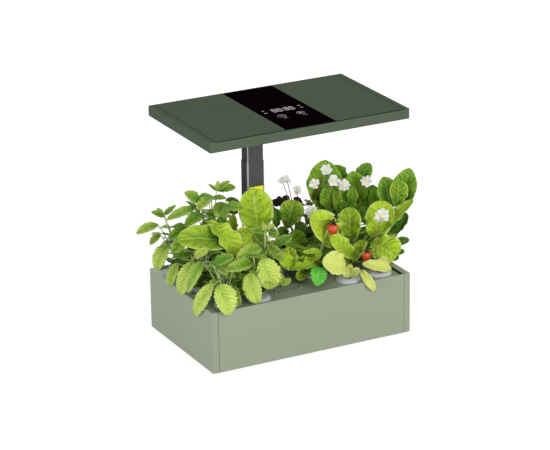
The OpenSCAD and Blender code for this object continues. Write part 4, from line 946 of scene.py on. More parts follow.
# %% Leaf pieces
def finish_leaves(shape, name, material, body, slot, *stands_for, thickness=0.7):
    """Turns the leaves of a bmesh into a piece with some thickness."""
    piece = add_piece(name, mesh_of(shape, name), material, body, slot, *stands_for)
    thick = piece.modifiers.new("thickness", "SOLIDIFY")
    thick.thickness, thick.offset = thickness * MM, -1
    print(name, "quads:", len(piece.data.polygons))
    return piece


print("leaf pieces get a Solidify modifier")

# %% [markdown]
# ## Stems
# A stem changes colour from its foot to its top, and is finely streaked along
# its length. One colour would make it look like wire. So the colour follows
# the height over the table, and a noise stretched along z gives the streaks.

# %% Stem finishes
def stem_finish(name, foot_colour, top_colour, low_mm, high_mm):
    """A stem material that changes colour with the height."""
    made, tree = new_material(name)
    spot = put(tree, "TexCoord").outputs["Object"]
    z = put(tree, "SeparateXYZ", {0: spot}).outputs["Z"]
    streak = put(tree, "TexNoise", {"Vector": put(
        tree, "Mapping", {"Vector": spot, "Scale": (1, 1, 0.1)}).outputs[0],
        "Scale": 500.0, "Detail": 2.0}).outputs[0]
    share = maths(tree, "ADD", ramp(tree, z, low_mm * MM, high_mm * MM),
                  maths(tree, "MULTIPLY", maths(tree, "SUBTRACT", streak, 0.5), 0.5),
                  clamp=True)
    colour = blend_colours(tree, share, linear(*foot_colour), linear(*top_colour))
    bump = put(tree, "Bump", {"Height": streak, "Strength": 0.3, "Distance": 0.3 * MM})
    close_material(tree, {"Base Color": colour, "Roughness": 0.5, "Normal": bump.outputs[0]})
    return made


BALM_STEM = stem_finish("balm_stem", (120, 146, 70), (206, 218, 148), 115, 190)
LETTUCE_STEM = stem_finish("lettuce_stem", (196, 214, 140), (150, 190, 80), 115, 170)
RUNNER_STEM = stem_finish("runner_stem", (126, 150, 62), (156, 96, 76), 125, 200)
BASIL_STEM = stem_finish("basil_stem", (70, 40, 50), (92, 58, 62), 115, 190)
print("stem finishes ready")

# %% [markdown]
# Stems could be thin cones, but they would be straight. A curve needs only a
# few points and bends smoothly. Its bevel is a circle with a radius of one
# metre, and each point's radius shrinks it to the stem's own thickness. One
# curve object holds all the stems of a kind and is turned into a mesh once
# they are in.

# %% Stem maker
def make_stems(name, stems, material, body, slot, *stands_for):
    """A piece with all the stems: lists of (point in metres, radius in metres)."""
    data = bpy.data.curves.new(name, "CURVE")
    data.dimensions, data.bevel_depth, data.bevel_resolution = "3D", 1.0, 2
    data.use_fill_caps = True
    data.resolution_u = 4
    for stem in stems:
        spline = data.splines.new("NURBS")
        spline.points.add(len(stem) - 1)
        for point, (spot, radius) in zip(spline.points, stem):
            point.co = (*spot, 1)
            point.radius = radius
        spline.order_u = min(3, len(stem))
        spline.use_endpoint_u = True
    drawn = bpy.data.objects.new(name + "_curve", data)
    scene.collection.objects.link(drawn)
    shown = drawn.evaluated_get(bpy.context.evaluated_depsgraph_get())
    mesh = bpy.data.meshes.new_from_object(shown)
    bpy.data.objects.remove(drawn)
    for face in mesh.polygons:
        face.use_smooth = True
    piece = add_piece(name, mesh, material, body, slot, *stands_for)
    print(name, "stems:", len(stems), "faces:", len(mesh.polygons))
    return piece


def bowed(a, b, thick, bow=0.12):
    """Three points from a to b, the middle one pushed up and back towards a."""
    a, b = Vector(a), Vector(b)
    middle = (a + b) / 2
    flat = Vector((b.x - a.x, b.y - a.y, 0))
    middle += -flat * bow + Vector((0, 0, flat.length * bow))
    return [(a, thick), (middle, thick * 0.85), (b, thick * 0.6)]


print("stem maker ready")

# %% [markdown]
# ## The plants
# Each plant grows from a net basket in the deck. The plants could be placed in
# the box's frame, but their leaves are easier to read from the pod's middle,
# at deck height, in millimetres. A filler leaf may not touch the post, and a
# low one may not hang over the box's rim or in front of the leaves that stand
# there.

# %% Places
DECK_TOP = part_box("net_baskets")[1][2] - 2 * MM
PODS = [(-158, -94), (-92, -94), (92, -94), (158, -94), (-52, -42), (52, -42), (-158, 0),
        (158, 0), (-52, 42), (52, 42), (-158, 94), (-92, 94), (92, 94), (158, 94)]
CROWN = 5.4
POST_HALF, POST_FRONT = 32, 76
LOW_UNDER, RIM_SIDE, RIM_BACK, FAR_BACK = 76, 190, 122, 132


def from_pod(pod, x, y, z):
    """A point in metres, from millimetres off the pod's middle."""
    px, py = PODS[pod]
    return Vector(((px + x) * MM, (py + y) * MM, DECK_TOP + z * MM))


def reaches_out(pod, x, y, z, heading, length, front):
    """Whether a filler leaf would touch the post or, when it is low, pass the
    box's rim or the front leaves."""
    tip_x = PODS[pod][0] + x + length * math.cos(math.radians(heading))
    tip_y = PODS[pod][1] + y + length * math.sin(math.radians(heading))
    low = z < LOW_UNDER
    return (abs(tip_x) < POST_HALF and tip_y > POST_FRONT
            or tip_y > (RIM_BACK if low else FAR_BACK)
            or low and (abs(tip_x) > RIM_SIDE or tip_y < front))


print("pods:", len(PODS), "deck at", round(DECK_TOP / MM, 1), "mm")

# %% [markdown]
# A Planting collects the leaves and stems of one kind of plant. A scatter tool
# could strew them, but the big leaves have their places: each row of a table
# is one leaf, with foot x, y, z, heading, climb and twist in degrees, length,
# width, curl in degrees, and tone. The rows are those of the solids' leaves,
# but for two lettuce leaves that sit a few millimetres away and some small
# ones that the solids leave out. Every Planting has a seeded random source of
# its own, so the result is the same at each run.

# %% Planting
class Planting:
    """Collects the leaves and stems of one kind of plant."""

    def __init__(self, style, seed):
        self.style, self.shape, self.small = style, start_leaves(), start_leaves()
        self.stems, self.rng = [], random.Random(seed)

    def blade(self, pod, row, small=False):
        """One leaf of the table, or a small one with half the columns and rows."""
        # tone is the leaf's brightness: partly its age, partly painted shade.
        x, y, z, heading, climb, twist, length, width, curl, tone = row
        foot = from_pod(pod, x, y, z)
        add_leaf(self.small if small else self.shape, self.style,
                 leaf_place(*foot, heading, climb, twist, curl),
                 length * MM, width * MM, curl, tone, self.rng, 2 if small else 1)

    def plant(self, pod, rows, thick=1.4, at=(0, 0)):
        """The rows of one pod, each blade with a stalk from the crown."""
        crown = from_pod(pod, at[0], at[1], CROWN)
        for row in rows:
            self.blade(pod, row)
            self.stems.append(bowed(crown, from_pod(pod, *row[:3]), thick * MM))

    def upright(self, pod, top, pairs, length, turn, climb=-10, tone=0.4):
        """A stem with crossed pairs of blades, shorter towards its top."""
        foot, top = Vector((0, 0, CROWN)), Vector(top)
        self.stems.append([(from_pod(pod, *foot), 2.0 * MM),
                           (from_pod(pod, *((foot + top) / 2)), 1.6 * MM),
                           (from_pod(pod, *top), 1.1 * MM)])
        for i in range(1, pairs + 1):
            at = foot + (top - foot) * i / pairs
            size = length * (1 - 0.4 * i / pairs)
            for half in (0, 180):
                self.blade(pod, (*at, turn + 90 * i + half + self.rng.uniform(-12, 12),
                                 climb + self.rng.uniform(-8, 8), self.rng.uniform(-15, 15),
                                 size, size * 0.62, 35, tone * (0.6 + 0.5 * i / pairs)))

    def finish(self, name, leaf, stem, slot, *stands_for):
        """Makes the pieces: big leaves, small leaves and stems."""
        for part, shape in (("_leaves", self.shape), ("_small_leaves", self.small)):
            if shape.faces:
                finish_leaves(shape, name + part, leaf, "deck", slot, *stands_for)
        if self.stems:
            make_stems(name + "_stems", self.stems, stem, "deck", slot, *stands_for)


print("a Planting has", ", ".join(n for n in vars(Planting) if n[0] != "_"))

# %% [markdown]
# Filler leaves hide the deck and close the gaps between the big ones. They are
# kept in a mesh of their own, and most get a low tone: painted shade for
# leaves deep in the plant. Both rules turn from leaf to leaf by the golden
# angle, so that no leaf stands right over another, and both leave out a leaf
# that would reach too far.

# %% Filler leaves
GOLDEN_DEG, RING_FRONT, LEAST_TIP = 137.5, -104, 16


def rosette(plants, pod, count, length, width, climb, start, tone, at=(0, 0)):
    """A ring of low blades round the crown."""
    for i in range(count):
        angle = math.radians(start + i * GOLDEN_DEG)
        if reaches_out(pod, *at, 0, math.degrees(angle), length, RING_FRONT):
            continue
        plants.blade(pod, (at[0] + 2 * math.cos(angle), at[1] + 2 * math.sin(angle),
                           CROWN + 0.1 * i, math.degrees(angle), climb + 4 * i, 0,
                           length, width, 35, tone), small=True)


def fill(plants, pod, count, spread, low, high, length, tone, climb=(-30, 40), at=(0, 0),
         hub=CROWN, front=-102):
    """Small leaves near the stems. Their stalks part at the hub's height, and
    none of them hangs down to the deck."""
    rng = plants.rng
    for i in range(count):
        heading = GOLDEN_DEG * i + rng.uniform(-20, 20)
        out = spread * rng.uniform(0.1, 1)
        size = length * rng.uniform(0.7, 1.15)
        x = at[0] + out * math.cos(math.radians(heading))
        y = at[1] + out * math.sin(math.radians(heading))
        z = rng.uniform(low, high)
        lowest = math.degrees(math.asin(min(1, max(-1, (LEAST_TIP - z) / size))))
        row = (x, y, z, heading, max(lowest, rng.uniform(*climb)), rng.uniform(-35, 35),
               size, size * 0.6, 30, tone * rng.uniform(0.5, 1.2))
        if reaches_out(pod, x, y, z, heading, size, front):
            continue
        plants.blade(pod, row, small=True)
        plants.stems.append(bowed(from_pod(pod, at[0] * 0.3, at[1] * 0.3, hub),
                                  from_pod(pod, x, y, z), 0.8 * MM))


print("filler leaves turn by", GOLDEN_DEG, "degrees")

# %% [markdown]
# Lemon balm fills the left end. Its long stems carry crossed pairs of toothed
# leaves. The front pods come first.

# %% Lemon balm in front
balm = Planting(BALM, 11)
balm.plant(0, [(-34, -18, 53, 145, -75, -70, 88, 29, 40, 1.0),
    (-23, -22, 51, -75, -70, 15, 59, 47, 40, 1.0),
    (10, -10, 38, -100, -70, 50, 38, 25, 30, 0.6),
    (-27, 34, 76, 170, -70, -35, 68, 30, 40, 0.5), (20, 2, 72, 175, 0, -30, 39, 24, 30, 0.35),
    (-24, -2, 81, -10, 15, 15, 42, 26, 30, 0.15),
    (-26, -14, 21, -65, -50, 60, 24, 17, 20, 0.3), (-3, -8, 19, -40, -25, 65, 30, 18, 20, 0.1),
    (10, 10, 27, -10, -25, 70, 40, 20, 30, 0.1)])
balm.upright(0, (-14, 2, 74), 3, 46, 20)
balm.plant(1, [(-25, -14, 58, -100, -80, 35, 59, 35, 40, 0.95),
    (7, -4, 76, -70, -80, 20, 61, 47, 40, 1.1), (-9, 6, 68, -160, -5, -45, 61, 25, 30, 0.45),
    (-32, 10, 36, -70, -55, 45, 35, 20, 20, 0.05),
    (-15, 18, 51, -155, -55, -40, 36, 22, 30, 0.12),
    (20, 24, 15, -10, -15, 70, 42, 18, 30, 0.15)])
balm.upright(1, (-6, 6, 80), 3, 46, 65)
balm.plant(4, [(26, -24, 5, -150, 40, -130, 31, 15, 30, 1.1),
    (20, -24, 4, -10, 10, 75, 24, 13, 30, 1.0), (-3, -8, 108, -165, 10, -45, 32, 13, 20, 0.25),
    (6, -8, 108, -25, -50, 95, 23, 18, 20, 0.3), (2, -14, 80, -45, -60, 80, 29, 23, 30, 0.5),
    (-18, -20, 84, -155, -10, -35, 63, 26, 30, 0.6),
    (-2, -8, 107, -150, 65, -130, 19, 11, 10, 1.3), (10, -8, 105, 10, 70, 60, 15, 11, 10, 1.2),
    (-18, -8, 51, -155, -5, -60, 41, 22, 30, 0.2), (2, -2, 45, -10, -40, 80, 45, 22, 30, 0.1)])
balm.upright(4, (0, -4, 106), 3, 44, 40)
print("balm leaves so far:", len(balm.shape.faces) // (BALM.columns * BALM.rows))

# %% [markdown]
# Towards the back the plants are taller, and the tallest stands in the last
# row.

# %% Lemon balm behind
balm.plant(6, [(-34, -34, 68, 160, -80, -55, 78, 32, 40, 0.85),
    (-35, 26, 47, 175, -75, -30, 51, 21, 40, 0.7),
    (-6, -40, 92, 165, -35, -55, 30, 20, 20, 1.2),
    (-8, 30, 94, -165, -35, -25, 49, 26, 30, 0.35),
    (-18, 10, 66, 180, -5, -40, 35, 13, 20, 0.0),
    (-8, -30, 62, -165, -35, -50, 35, 22, 30, 0.2),
    (15, -20, 55, -20, -50, 80, 35, 22, 30, 0.1),
    (-11, -14, 21, -175, -20, -65, 28, 20, 30, 0.1)])
balm.upright(6, (-6, -12, 72), 2, 48, 10)
balm.plant(10, [(-28, -14, 65, -180, -70, -25, 57, 30, 45, 0.8),
    (-43, -4, 102, -175, -15, -25, 45, 20, 30, 0.6),
    (-42, -9, 84, -175, -40, -20, 26, 16, 30, 0.4),
    (-31, -4, 116, -155, 20, -65, 31, 13, 30, 0.4),
    (-30, -4, 118, 10, 25, 25, 30, 13, 10, 0.4), (-32, -4, 122, 175, 40, -80, 16, 8, 10, 1.0),
    (12, -24, 92, -165, -15, -35, 49, 24, 30, 0.25),
    (4, -20, 96, -175, 0, -50, 25, 14, 20, 0.3),
    (-5, -24, 66, -170, -30, -45, 27, 19, 30, 0.3), (2, -34, 62, -25, -35, 80, 31, 19, 30, 0.1)])
balm.upright(10, (-20, -4, 92), 3, 44, 30)
balm.plant(11, [(-40, -14, 125, -165, -10, -30, 63, 23, 20, 0.45),
    (-27, -9, 135, -170, 30, -70, 36, 22, 20, 0.4),
    (-26, -9, 139, 5, -10, 35, 34, 22, 20, 0.25),
    (-9, -14, 139, -150, -20, -20, 39, 24, 20, 0.55),
    (6, -9, 124, -60, -60, 30, 36, 35, 30, 0.55), (11, -4, 147, 0, 25, 10, 31, 14, 10, 0.5),
    (11, -4, 147, -20, 5, 20, 36, 23, 10, 0.15), (11, -4, 147, -175, 40, -65, 22, 8, 10, 0.6),
    (10, -6, 148, 10, 70, 50, 18, 9, 10, 1.2),
    (-27, -16, 113, -155, -20, -30, 45, 23, 25, 0.3),
    (-12, -14, 116, -40, -60, 70, 18, 15, 20, 0.0),
    (29, -6, 125, 0, -20, 35, 31, 14, 20, 0.05), (25, -14, 109, 0, -25, 50, 29, 15, 20, 0.05),
    (-6, -18, 93, -155, -20, -45, 30, 22, 30, 0.15)])
balm.upright(11, (0, -6, 132), 3, 46, 70)
print("balm leaves so far:", len(balm.shape.faces) // (BALM.columns * BALM.rows))

# %% [markdown]
# Each pod also gets filler leaves between its stems and a low ring of leaves
# round its foot. Then the leaves and stems become pieces.

# %% Lemon balm's filler
for pod, at, low, high, spread, count, tone in (
        (0, (-6, 0), 12, 64, 36, 36, 0.45), (1, (-2, 0), 12, 64, 36, 36, 0.45),
        (4, (0, -2), 12, 86, 28, 28, 0.4), (6, (0, -8), 12, 70, 36, 30, 0.35),
        (10, (-8, -4), 14, 86, 32, 24, 0.35), (11, (-4, -6), 20, 122, 30, 30, 0.35)):
    fill(balm, pod, count, spread, low, high, 36, tone, at=at)
    rosette(balm, pod, 7, 36, 24, 14, 30 * pod, 0.15)
balm.finish("lemon_balm", BALM_LEAF, BALM_STEM, "balm_leaf", "lemon_balm")

# %% [markdown]
# The lettuce has large soft leaves that lean far out from their pods. They have
# no teeth, but deep ruffles along their edges. Two pods stand in the second
# row from the back, one in front of them, and one at the right end.

# %% Lettuce
lettuce = Planting(LETTUCE, 5)
lettuce.plant(8, [(-41, -18, 64, -125, -3, -75, 141, 54, 75, 0.5),
    (-91, -32, 124, -55, -45, 10, 86, 43, 50, 0.95),
    (-19, -4, 72, 175, 80, -150, 42, 24, 10, 0.8),
    (15, -56, 73, -160, 10, -55, 71, 40, 35, 1.0),
    (34, 2, 51, 170, 75, -100, 100, 68, 20, 0.75),
    (-41, -12, 69, -160, 65, -120, 49, 28, 20, 0.0),
    (-26, -22, 52, -155, 55, -120, 51, 26, 20, 0.0),
    (-52, -32, 57, -145, 25, -110, 60, 22, 30, 0.1),
    (-18, -22, 47, 15, 55, 45, 39, 26, 20, 0.05),
    (-3, -32, 42, -145, 20, -115, 40, 22, 30, 0.2),
    (-12, -22, 26, -145, 5, -95, 50, 26, 40, 0.15)], 2.2)
lettuce.plant(9, [(-13, 3, 64, 5, 60, 60, 56, 45, 20, 0.45),
    (15, -18, 36, -140, 10, -60, 71, 32, 40, 0.3),
    (10, -28, 28, -160, 40, -100, 50, 29, 30, 0.45),
    (-30, 8, 67, -125, 75, -150, 39, 20, 15, 0.0),
    (-12, -2, 43, -160, 45, -105, 35, 22, 20, 0.05), (3, -6, 50, 0, 50, 45, 29, 22, 20, 0.1),
    (-9, -12, 26, -145, 25, -120, 36, 24, 30, 0.1),
    (7, -12, 19, -15, 25, 65, 35, 24, 30, 0.1)], 2)
lettuce.plant(5, [(-50, -8, 25, -140, 25, -105, 55, 29, 35, 1.2),
    (-50, -10, 26, -165, 50, -160, 43, 32, 30, 1.2),
    (-51, -10, 24, -5, 20, 25, 64, 29, 25, 1.2), (-60, -18, 26, -15, 5, 25, 50, 26, 30, 1.1),
    (-26, 2, 29, -20, -40, 75, 47, 22, 40, 1.0), (-7, 6, 24, -170, 40, -110, 34, 26, 30, 0.25),
    (9, 6, 13, -5, 30, 60, 36, 24, 30, 0.2),
    (-22, -14, 18, -145, -20, -50, 34, 20, 40, 0.8)], 1.8)
lettuce.plant(7, [(-41, -12, 32, -135, 25, -110, 106, 61, 45, 0.95),
    (-13, -10, 34, -135, 60, -180, 72, 46, 30, 0.6),
    (26, -24, 35, -60, 60, 110, 82, 56, 25, 1.0), (35, -46, 59, -25, 45, 30, 82, 31, 15, 0.8),
    (15, -36, 39, -70, -35, 45, 58, 57, 60, 0.85),
    (-30, -52, 20, -150, 30, -95, 77, 33, 35, 0.85),
    (-34, -56, 16, 5, 50, 25, 47, 28, 25, 0.7), (74, -30, 94, -75, 75, 145, 56, 34, 15, 0.4),
    (76, -24, 40, 0, 55, 35, 44, 25, 15, 0.0), (-16, 10, 14, -165, 45, -105, 46, 26, 25, 0.2),
    (19, 4, 14, -15, 65, 70, 42, 29, 25, 0.15), (43, -6, 23, 0, 30, 55, 48, 26, 25, 0.2),
    (-17, -36, 6, -145, 15, -90, 49, 26, 30, 0.5), (-4, -52, 11, -60, 0, 75, 28, 26, 30, 0.5),
    (50, -20, 18, -25, 10, 40, 52, 17, 20, 0.0), (47, -30, 10, -30, -5, 70, 39, 13, 20, 0.05),
    (37, -46, 9, -50, 0, 50, 29, 16, 20, 0.0)], 2.2)
print("lettuce leaves:", len(lettuce.shape.faces) // (LETTUCE.columns * LETTUCE.rows))

# %% [markdown]
# Lettuce pods get a ring of leaves first, and then filler that stays behind
# the big leaves in front.

# %% Lettuce's filler
for pod, count, length, width, climb, start in (
        (8, 4, 50, 32, 22, 200), (9, 5, 44, 30, 24, 230), (5, 6, 40, 26, 18, 215),
        (7, 4, 44, 32, 20, 190)):
    rosette(lettuce, pod, count, length, width, climb, start, 0.35)
for pod, low, high, spread, count, tone in (
        (8, 10, 56, 40, 26, 0.15), (9, 10, 46, 40, 30, 0.15), (5, 8, 40, 40, 28, 0.25),
        (7, 8, 50, 44, 30, 0.2)):
    fill(lettuce, pod, count, spread, low, high, 40, tone, front=-76)
lettuce.finish("leaf_lettuce", LETTUCE_LEAF, LETTUCE_STEM, "lettuce_leaf", "leaf_lettuce")

# %% [markdown]
# Tall leaves stand steeply at the back right, on stalks from one pod. The pod
# beside it gets small leaves of the same kind, under the purple basil.

# %% Chard
chard = Planting(CHARD, 3)
chard.plant(13, [(-24, -2, 75, -75, 65, 150, 96, 66, 20, 0.65),
    (32, -6, 109, -170, 50, -80, 52, 30, 20, 0.25),
    (38, -38, 74, -145, 70, -140, 74, 45, 20, 0.7),
    (42, -30, 114, -20, 50, 55, 50, 29, 25, 0.35),
    (20, -50, 88, -90, 75, 150, 33, 22, 15, 0.6),
    (-3, -38, 71, -130, 70, -145, 49, 20, 15, 0.7),
    (93, -100, 79, -85, 60, 130, 87, 48, 25, 0.4),
    (77, -94, 80, -130, 55, -140, 71, 43, 30, 0.4),
    (93, -114, 85, -25, 65, 50, 46, 17, 15, 0.25),
    (68, -64, 64, -145, 70, -150, 55, 33, 20, 0.45),
    (50, -50, 63, -90, 75, 150, 54, 29, 20, 0.4),
    (-13, -24, 50, -160, 40, -105, 61, 30, 25, 0.3),
    (14, -34, 49, -75, 75, 140, 46, 29, 20, 0.3),
    (87, -84, 43, -30, 50, 80, 43, 29, 25, 0.3)], 2.4)
chard.plant(13, [(22, -54, 46, -11, 64, 69, 43, 33, 20, 0.25),
    (46, -58, 46, -166, 66, -126, 39, 26, 20, 0.2),
    (73, -100, 27, -57, 57, 111, 33, 26, 25, 0.2),
    (-14, -34, 74, -169, 66, -123, 53, 37, 20, 0.5), (9, -44, 69, -21, 71, 90, 58, 37, 20, 0.5),
    (57, -54, 72, -33, 74, 82, 48, 32, 20, 0.4),
    (73, -74, 74, -29, 73, 78, 50, 35, 20, 0.4)], 1.8)
rosette(chard, 13, 3, 60, 38, 50, 200, 0.3)
rosette(chard, 13, 7, 46, 30, 22, 20, 0.15)
rosette(chard, 12, 7, 42, 28, 30, 10, 0.1)
fill(chard, 13, 22, 46, 20, 76, 52, 0.15, (20, 70))
fill(chard, 12, 26, 44, 12, 58, 44, 0.1, (-10, 60))
chard.finish("chard", CHARD_LEAF, LETTUCE_STEM, "chard_leaf", "chard")

# %% [markdown]
# The purple basil has small dark leaves and one thick stem. Its filler leaves
# part from the top of that stem, not from the crown.

# %% Purple basil
BASIL_AT = (-3.4, 3)
basil = Planting(BASIL, 7)
basil.plant(12, [(-39, -2, 94, -165, 25, -85, 24, 15, 15, 0.3),
    (-36, -2, 95, -10, 45, 55, 20, 15, 15, 0.2),
    (-40, -4, 91, -170, 70, -125, 22, 15, 15, 0.4),
    (4, -10, 89, -170, 35, -80, 27, 14, 15, 0.35),
    (48, -18, 73, -165, 50, -105, 35, 19, 15, 0.2),
    (51, -20, 69, -35, 70, 90, 28, 18, 15, 0.1),
    (60, -28, 66, -115, 75, 180, 24, 15, 15, 0.2)], 1.4, BASIL_AT)
rosette(basil, 12, 5, 46, 30, 30, 40, 0.3, BASIL_AT)
basil.stems.append(bowed(from_pod(12, *BASIL_AT, CROWN), from_pod(12, 0, 0, 62), 2 * MM, 0.05))
fill(basil, 12, 18, 40, 60, 86, 20, 0.25, (0, 70), BASIL_AT, hub=60)
basil.finish("purple_basil", BASIL_LEAF, BASIL_STEM, "basil_leaf", "purple_basil")

# %% [markdown]
# ## Strawberries
# The strawberry plants have toothed leaves and thin runners that turn brown
# towards their ends. Each flower head is a row: its pod, its place, heading
# and tilt in degrees, and radius. One runner leans aside at its middle.

# %% Strawberry leaves and runners
HEADS = [(12, (40, -34, 159), -30, 55, 11), (12, (15, -34, 136), -30, 60, 11),
    (12, (51, -44, 138), -20, 50, 12), (12, (67, -54, 130), -30, 60, 13),
    (12, (-41, -14, 145), -30, 40, 9), (12, (-32, -14, 146), 20, 40, 9),
    (12, (-10, -14, 121), -30, 55, 9), (5, (23, 52, 102), -30, 70, 14),
    (13, (42, -64, 133), -10, 50, 11), (3, (27, 39, 96), -25, 75, 15)]
FRUIT = [(5, [(0, 0, CROWN), (30, 2, 101), (37, 0, 95)], 13),
    (3, [(0, 0, CROWN), (0, 30, 42), (-10, 33, 37)], 13)]
SIDE = (3.2, -3)
LEAN = {3: -24}
berry = Planting(STRAWBERRY, 9)
berry.plant(5, [(-13, -38, 31, -120, -30, -15, 46, 32, 30, 0.85)], 1.2, SIDE)
for pod, spot, *_ in HEADS:
    route = bowed(from_pod(pod, *SIDE, CROWN), from_pod(pod, *spot), 1.1 * MM, 0.05)
    route[1] = (route[1][0] + Vector((LEAN.get(pod, 0) * MM, 0, 0)), route[1][1])
    berry.stems.append(route)
berry.finish("strawberry", BERRY_LEAF, RUNNER_STEM, "strawberry_plant", "strawberry")
make_stems("fruit_stems", [[(from_pod(pod, *p), r * MM) for p, r in zip(route, (1.4, 1.1, 0.8))]
                           for pod, route, _ in FRUIT],
           BALM_STEM, "deck", "strawberry_plant", "strawberry")

# %% [markdown]
# Two pods at the front are younger. Their leaves are pale and finely toothed.

# %% Young leaves
young = Planting(YOUNG, 12)
young.plant(2, [(0, 8, 24, -155, 10, -70, 58, 47, 35, 1.3),
    (19, -14, 20, -100, -55, 30, 52, 17, 100, 1.0), (5, 2, 2, -165, 40, -110, 30, 15, 20, 1.2),
    (8, 0, 4, -25, 45, 75, 21, 15, 20, 1.1), (1, 6, 5, -10, 60, 65, 23, 13, 20, 0.9)], 1.2)
young.plant(3, [(-31, 10, 21, -35, -20, 50, 57, 23, 35, 1.2),
    (3, 14, 13, -5, 0, 65, 27, 20, 30, 0.9)], 1.2)
young.finish("young_leaf", YOUNG_LEAF, LETTUCE_STEM, "strawberry_plant", "strawberry")

# %% [markdown]
# A flower head is a ring of petals round a small domed centre. One petal could
# be spun round, but the flower would look moulded. So each petal is a leaf of
# a style of its own, cupped and turned by chance. Behind every second one sits
# a narrow green sepal.

# %% Flowers
PETAL_GAP, HEAD_LIFT = 1.2 * MM, 1.6 * MM
rng = random.Random(21)
petals, sepals, centres = start_leaves(), start_leaves(), bmesh.new()
for pod, spot, heading, tilt, radius in HEADS:
    place = (Matrix.Translation(from_pod(pod, *spot))
             @ Matrix.Rotation(math.radians(heading), 4, "Z")
             @ Matrix.Rotation(math.radians(tilt), 4, "X")
             @ Matrix.Translation((0, 0, HEAD_LIFT)))
    count = 9 if radius > 13 else rng.choice((6, 7, 8))
    for i in range(count):
        turn = Matrix.Rotation(math.tau * (i + rng.uniform(-0.16, 0.16)) / count, 4, "Z")
        cup = (Matrix.Rotation(-math.radians(rng.uniform(-8, 38)), 4, "Y")
               @ Matrix.Rotation(math.radians(rng.uniform(-22, 22)), 4, "X"))
        add_leaf(petals, PETALS, place @ turn @ cup @ Matrix.Translation((PETAL_GAP, 0, 0)),
                 radius * rng.uniform(0.78, 1.02) * MM,
                 radius * rng.uniform(4.2, 5.4) / count * MM,
                 rng.uniform(5, 45), rng.uniform(0.4, 1), rng)
        if i % 2:
            add_leaf(sepals, PETALS, place @ turn @ Matrix.Rotation(0.4, 4, "Z")
                     @ Matrix.Translation((0, 0, -PETAL_GAP)),
                     radius * 0.7 * MM, radius * 0.3 * MM, 10, 0.5, rng)
    dome = bmesh.ops.create_icosphere(centres, subdivisions=3, radius=radius * 0.34 * MM,
                                      matrix=place @ Matrix.Diagonal((1, 1, 0.6, 1)))["verts"]
    for vert in dome:
        vert.co += (vert.co - place.translation) * 0.3 * noise.noise(vert.co * 900)
for face in centres.faces:
    face.smooth = True
finish_leaves(petals, "flower_petals", PETAL, "deck", "petal", "blossoms", thickness=0.35)
finish_leaves(sepals, "flower_sepals", BERRY_LEAF, "deck", "strawberry_plant", "blossoms",
              thickness=0.35)
pollen = finish("pollen", MOULDED, (252, 242, 170), 0.7, 0.25, 0.9)
add_piece("flower_centres", mesh_of(centres, "flower_centres"), pollen, "deck", "petal",
          "blossoms")
print("flower heads:", len(HEADS))

# %% [markdown]
# ## Fruit
# The ripe fruit's skin is a fine mix of two reds under a thin clear coat,
# which makes it look wet. One glossy red would look like plastic. The seeds
# are straw-coloured.

# %% Fruit finishes
skin_red, tree = new_material("berry_skin")
patch = put(tree, "TexNoise", {"Vector": put(tree, "TexCoord").outputs["Object"],
                               "Scale": 120.0, "Detail": 3.0}).outputs[0]
close_material(tree, {
    "Base Color": blend_colours(tree, patch, linear(214, 44, 24), linear(236, 96, 44)),
    "Roughness": 0.28, "Coat Weight": 0.3, "Coat Roughness": 0.15})
seed_coat = finish("seed_coat", MOULDED, (226, 190, 96), 0.5, 0.3, 0.2)
print("fruit finishes ready")

# %% [markdown]
# A strawberry is a cone with a round shoulder and a blunt end. It could be
# spun from a profile, but the pits round the seeds need a mesh that is fine
# all over, so a sphere is pulled to the outline. The seeds sit along a spiral
# that turns by the golden angle from seed to seed.

# %% Fruit outline and seed places
SEEDS, GOLDEN_RAD = 70, 2.39996


def fruit_radius(t):
    """Share of the radius at t from the cap, 0, to the tip, 1."""
    return math.sin(math.pi * min(t, 1)) ** 0.5 * (1.05 - 0.62 * t)


def seed_places(hang, radius):
    """Where the seeds of a fruit of this radius sit, which hangs from a point."""
    places = []
    for i in range(SEEDS):
        t = 0.1 + 0.86 * (i + 0.5) / SEEDS
        angle = i * GOLDEN_RAD
        r = fruit_radius(t) * radius * MM
        places.append(hang + Vector((r * math.cos(angle), r * math.sin(angle),
                                     -t * 2 * radius * MM)))
    return places


print("widest share of the radius:", round(max(fruit_radius(i / 50) for i in range(51)), 2))

# %% [markdown]
# Each seed is a tiny squashed icosphere, and the pit round it is pressed into
# the fruit's mesh. A bump could stand for them, but it would leave the outline
# smooth. A star of sepals caps the fruit, and every second one hangs more
# steeply.

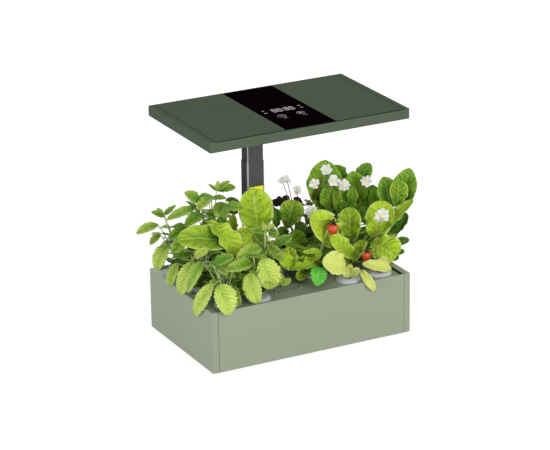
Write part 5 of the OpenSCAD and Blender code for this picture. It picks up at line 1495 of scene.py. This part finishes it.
# %% Fruit
PIT_RADIUS, SEED_RADIUS, CAP_SEPALS = 1.5 * MM, 0.55 * MM, 8
flesh, seeds, caps = bmesh.new(), bmesh.new(), start_leaves()
for pod, route, radius in FRUIT:
    hang = from_pod(pod, *route[-1]) - Vector((0, 0, 0.8 * MM))
    pits = seed_places(hang, radius)
    ball = bmesh.ops.create_uvsphere(flesh, u_segments=48, v_segments=32, radius=1)["verts"]
    for vert in ball:
        t = math.acos(max(-1, min(1, vert.co.z))) / math.pi
        flat = Vector((vert.co.x, vert.co.y)).normalized() if t not in (0, 1) else Vector((0, 0))
        r = fruit_radius(t) * radius * MM
        vert.co = hang + Vector((flat.x * r, flat.y * r, -t * 2 * radius * MM))
        gap = min((vert.co - p).length for p in pits)
        if gap < PIT_RADIUS:
            vert.co -= Vector((flat.x, flat.y, 0)) * (PIT_RADIUS - gap) * 0.45
    for p in pits:
        out = Vector((p.x - hang.x, p.y - hang.y, 0)).normalized()
        turn = out.to_track_quat("X", "Z").to_matrix().to_4x4()
        bmesh.ops.create_icosphere(seeds, subdivisions=1, radius=SEED_RADIUS, matrix=(
            Matrix.Translation(p - out * 0.25 * MM) @ turn @ Matrix.Diagonal((0.5, 0.7, 1, 1))))
    for i in range(CAP_SEPALS):
        turn = Matrix.Rotation(math.tau * i / CAP_SEPALS, 4, "Z")
        add_leaf(caps, STRAWBERRY, Matrix.Translation(hang + Vector((0, 0, 0.4 * MM))) @ turn
                 @ Matrix.Rotation(math.radians(-40 if i % 2 else -5), 4, "Y"),
                 radius * 1.05 * MM, radius * 0.45 * MM, 50 if i % 2 else 25, 0.3, rng)
for face in flesh.faces:
    face.smooth = True
add_piece("berry_flesh", mesh_of(flesh, "berry_flesh"), skin_red, "deck", "berry", "berries")
add_piece("berry_seeds", mesh_of(seeds, "berry_seeds"), seed_coat, "deck", "berry", "berries")
finish_leaves(caps, "berry_caps", CALYX_LEAF, "deck", "strawberry_plant", "berries",
              thickness=0.4)
print("fruits:", len(FRUIT), "with", SEEDS, "seeds each")
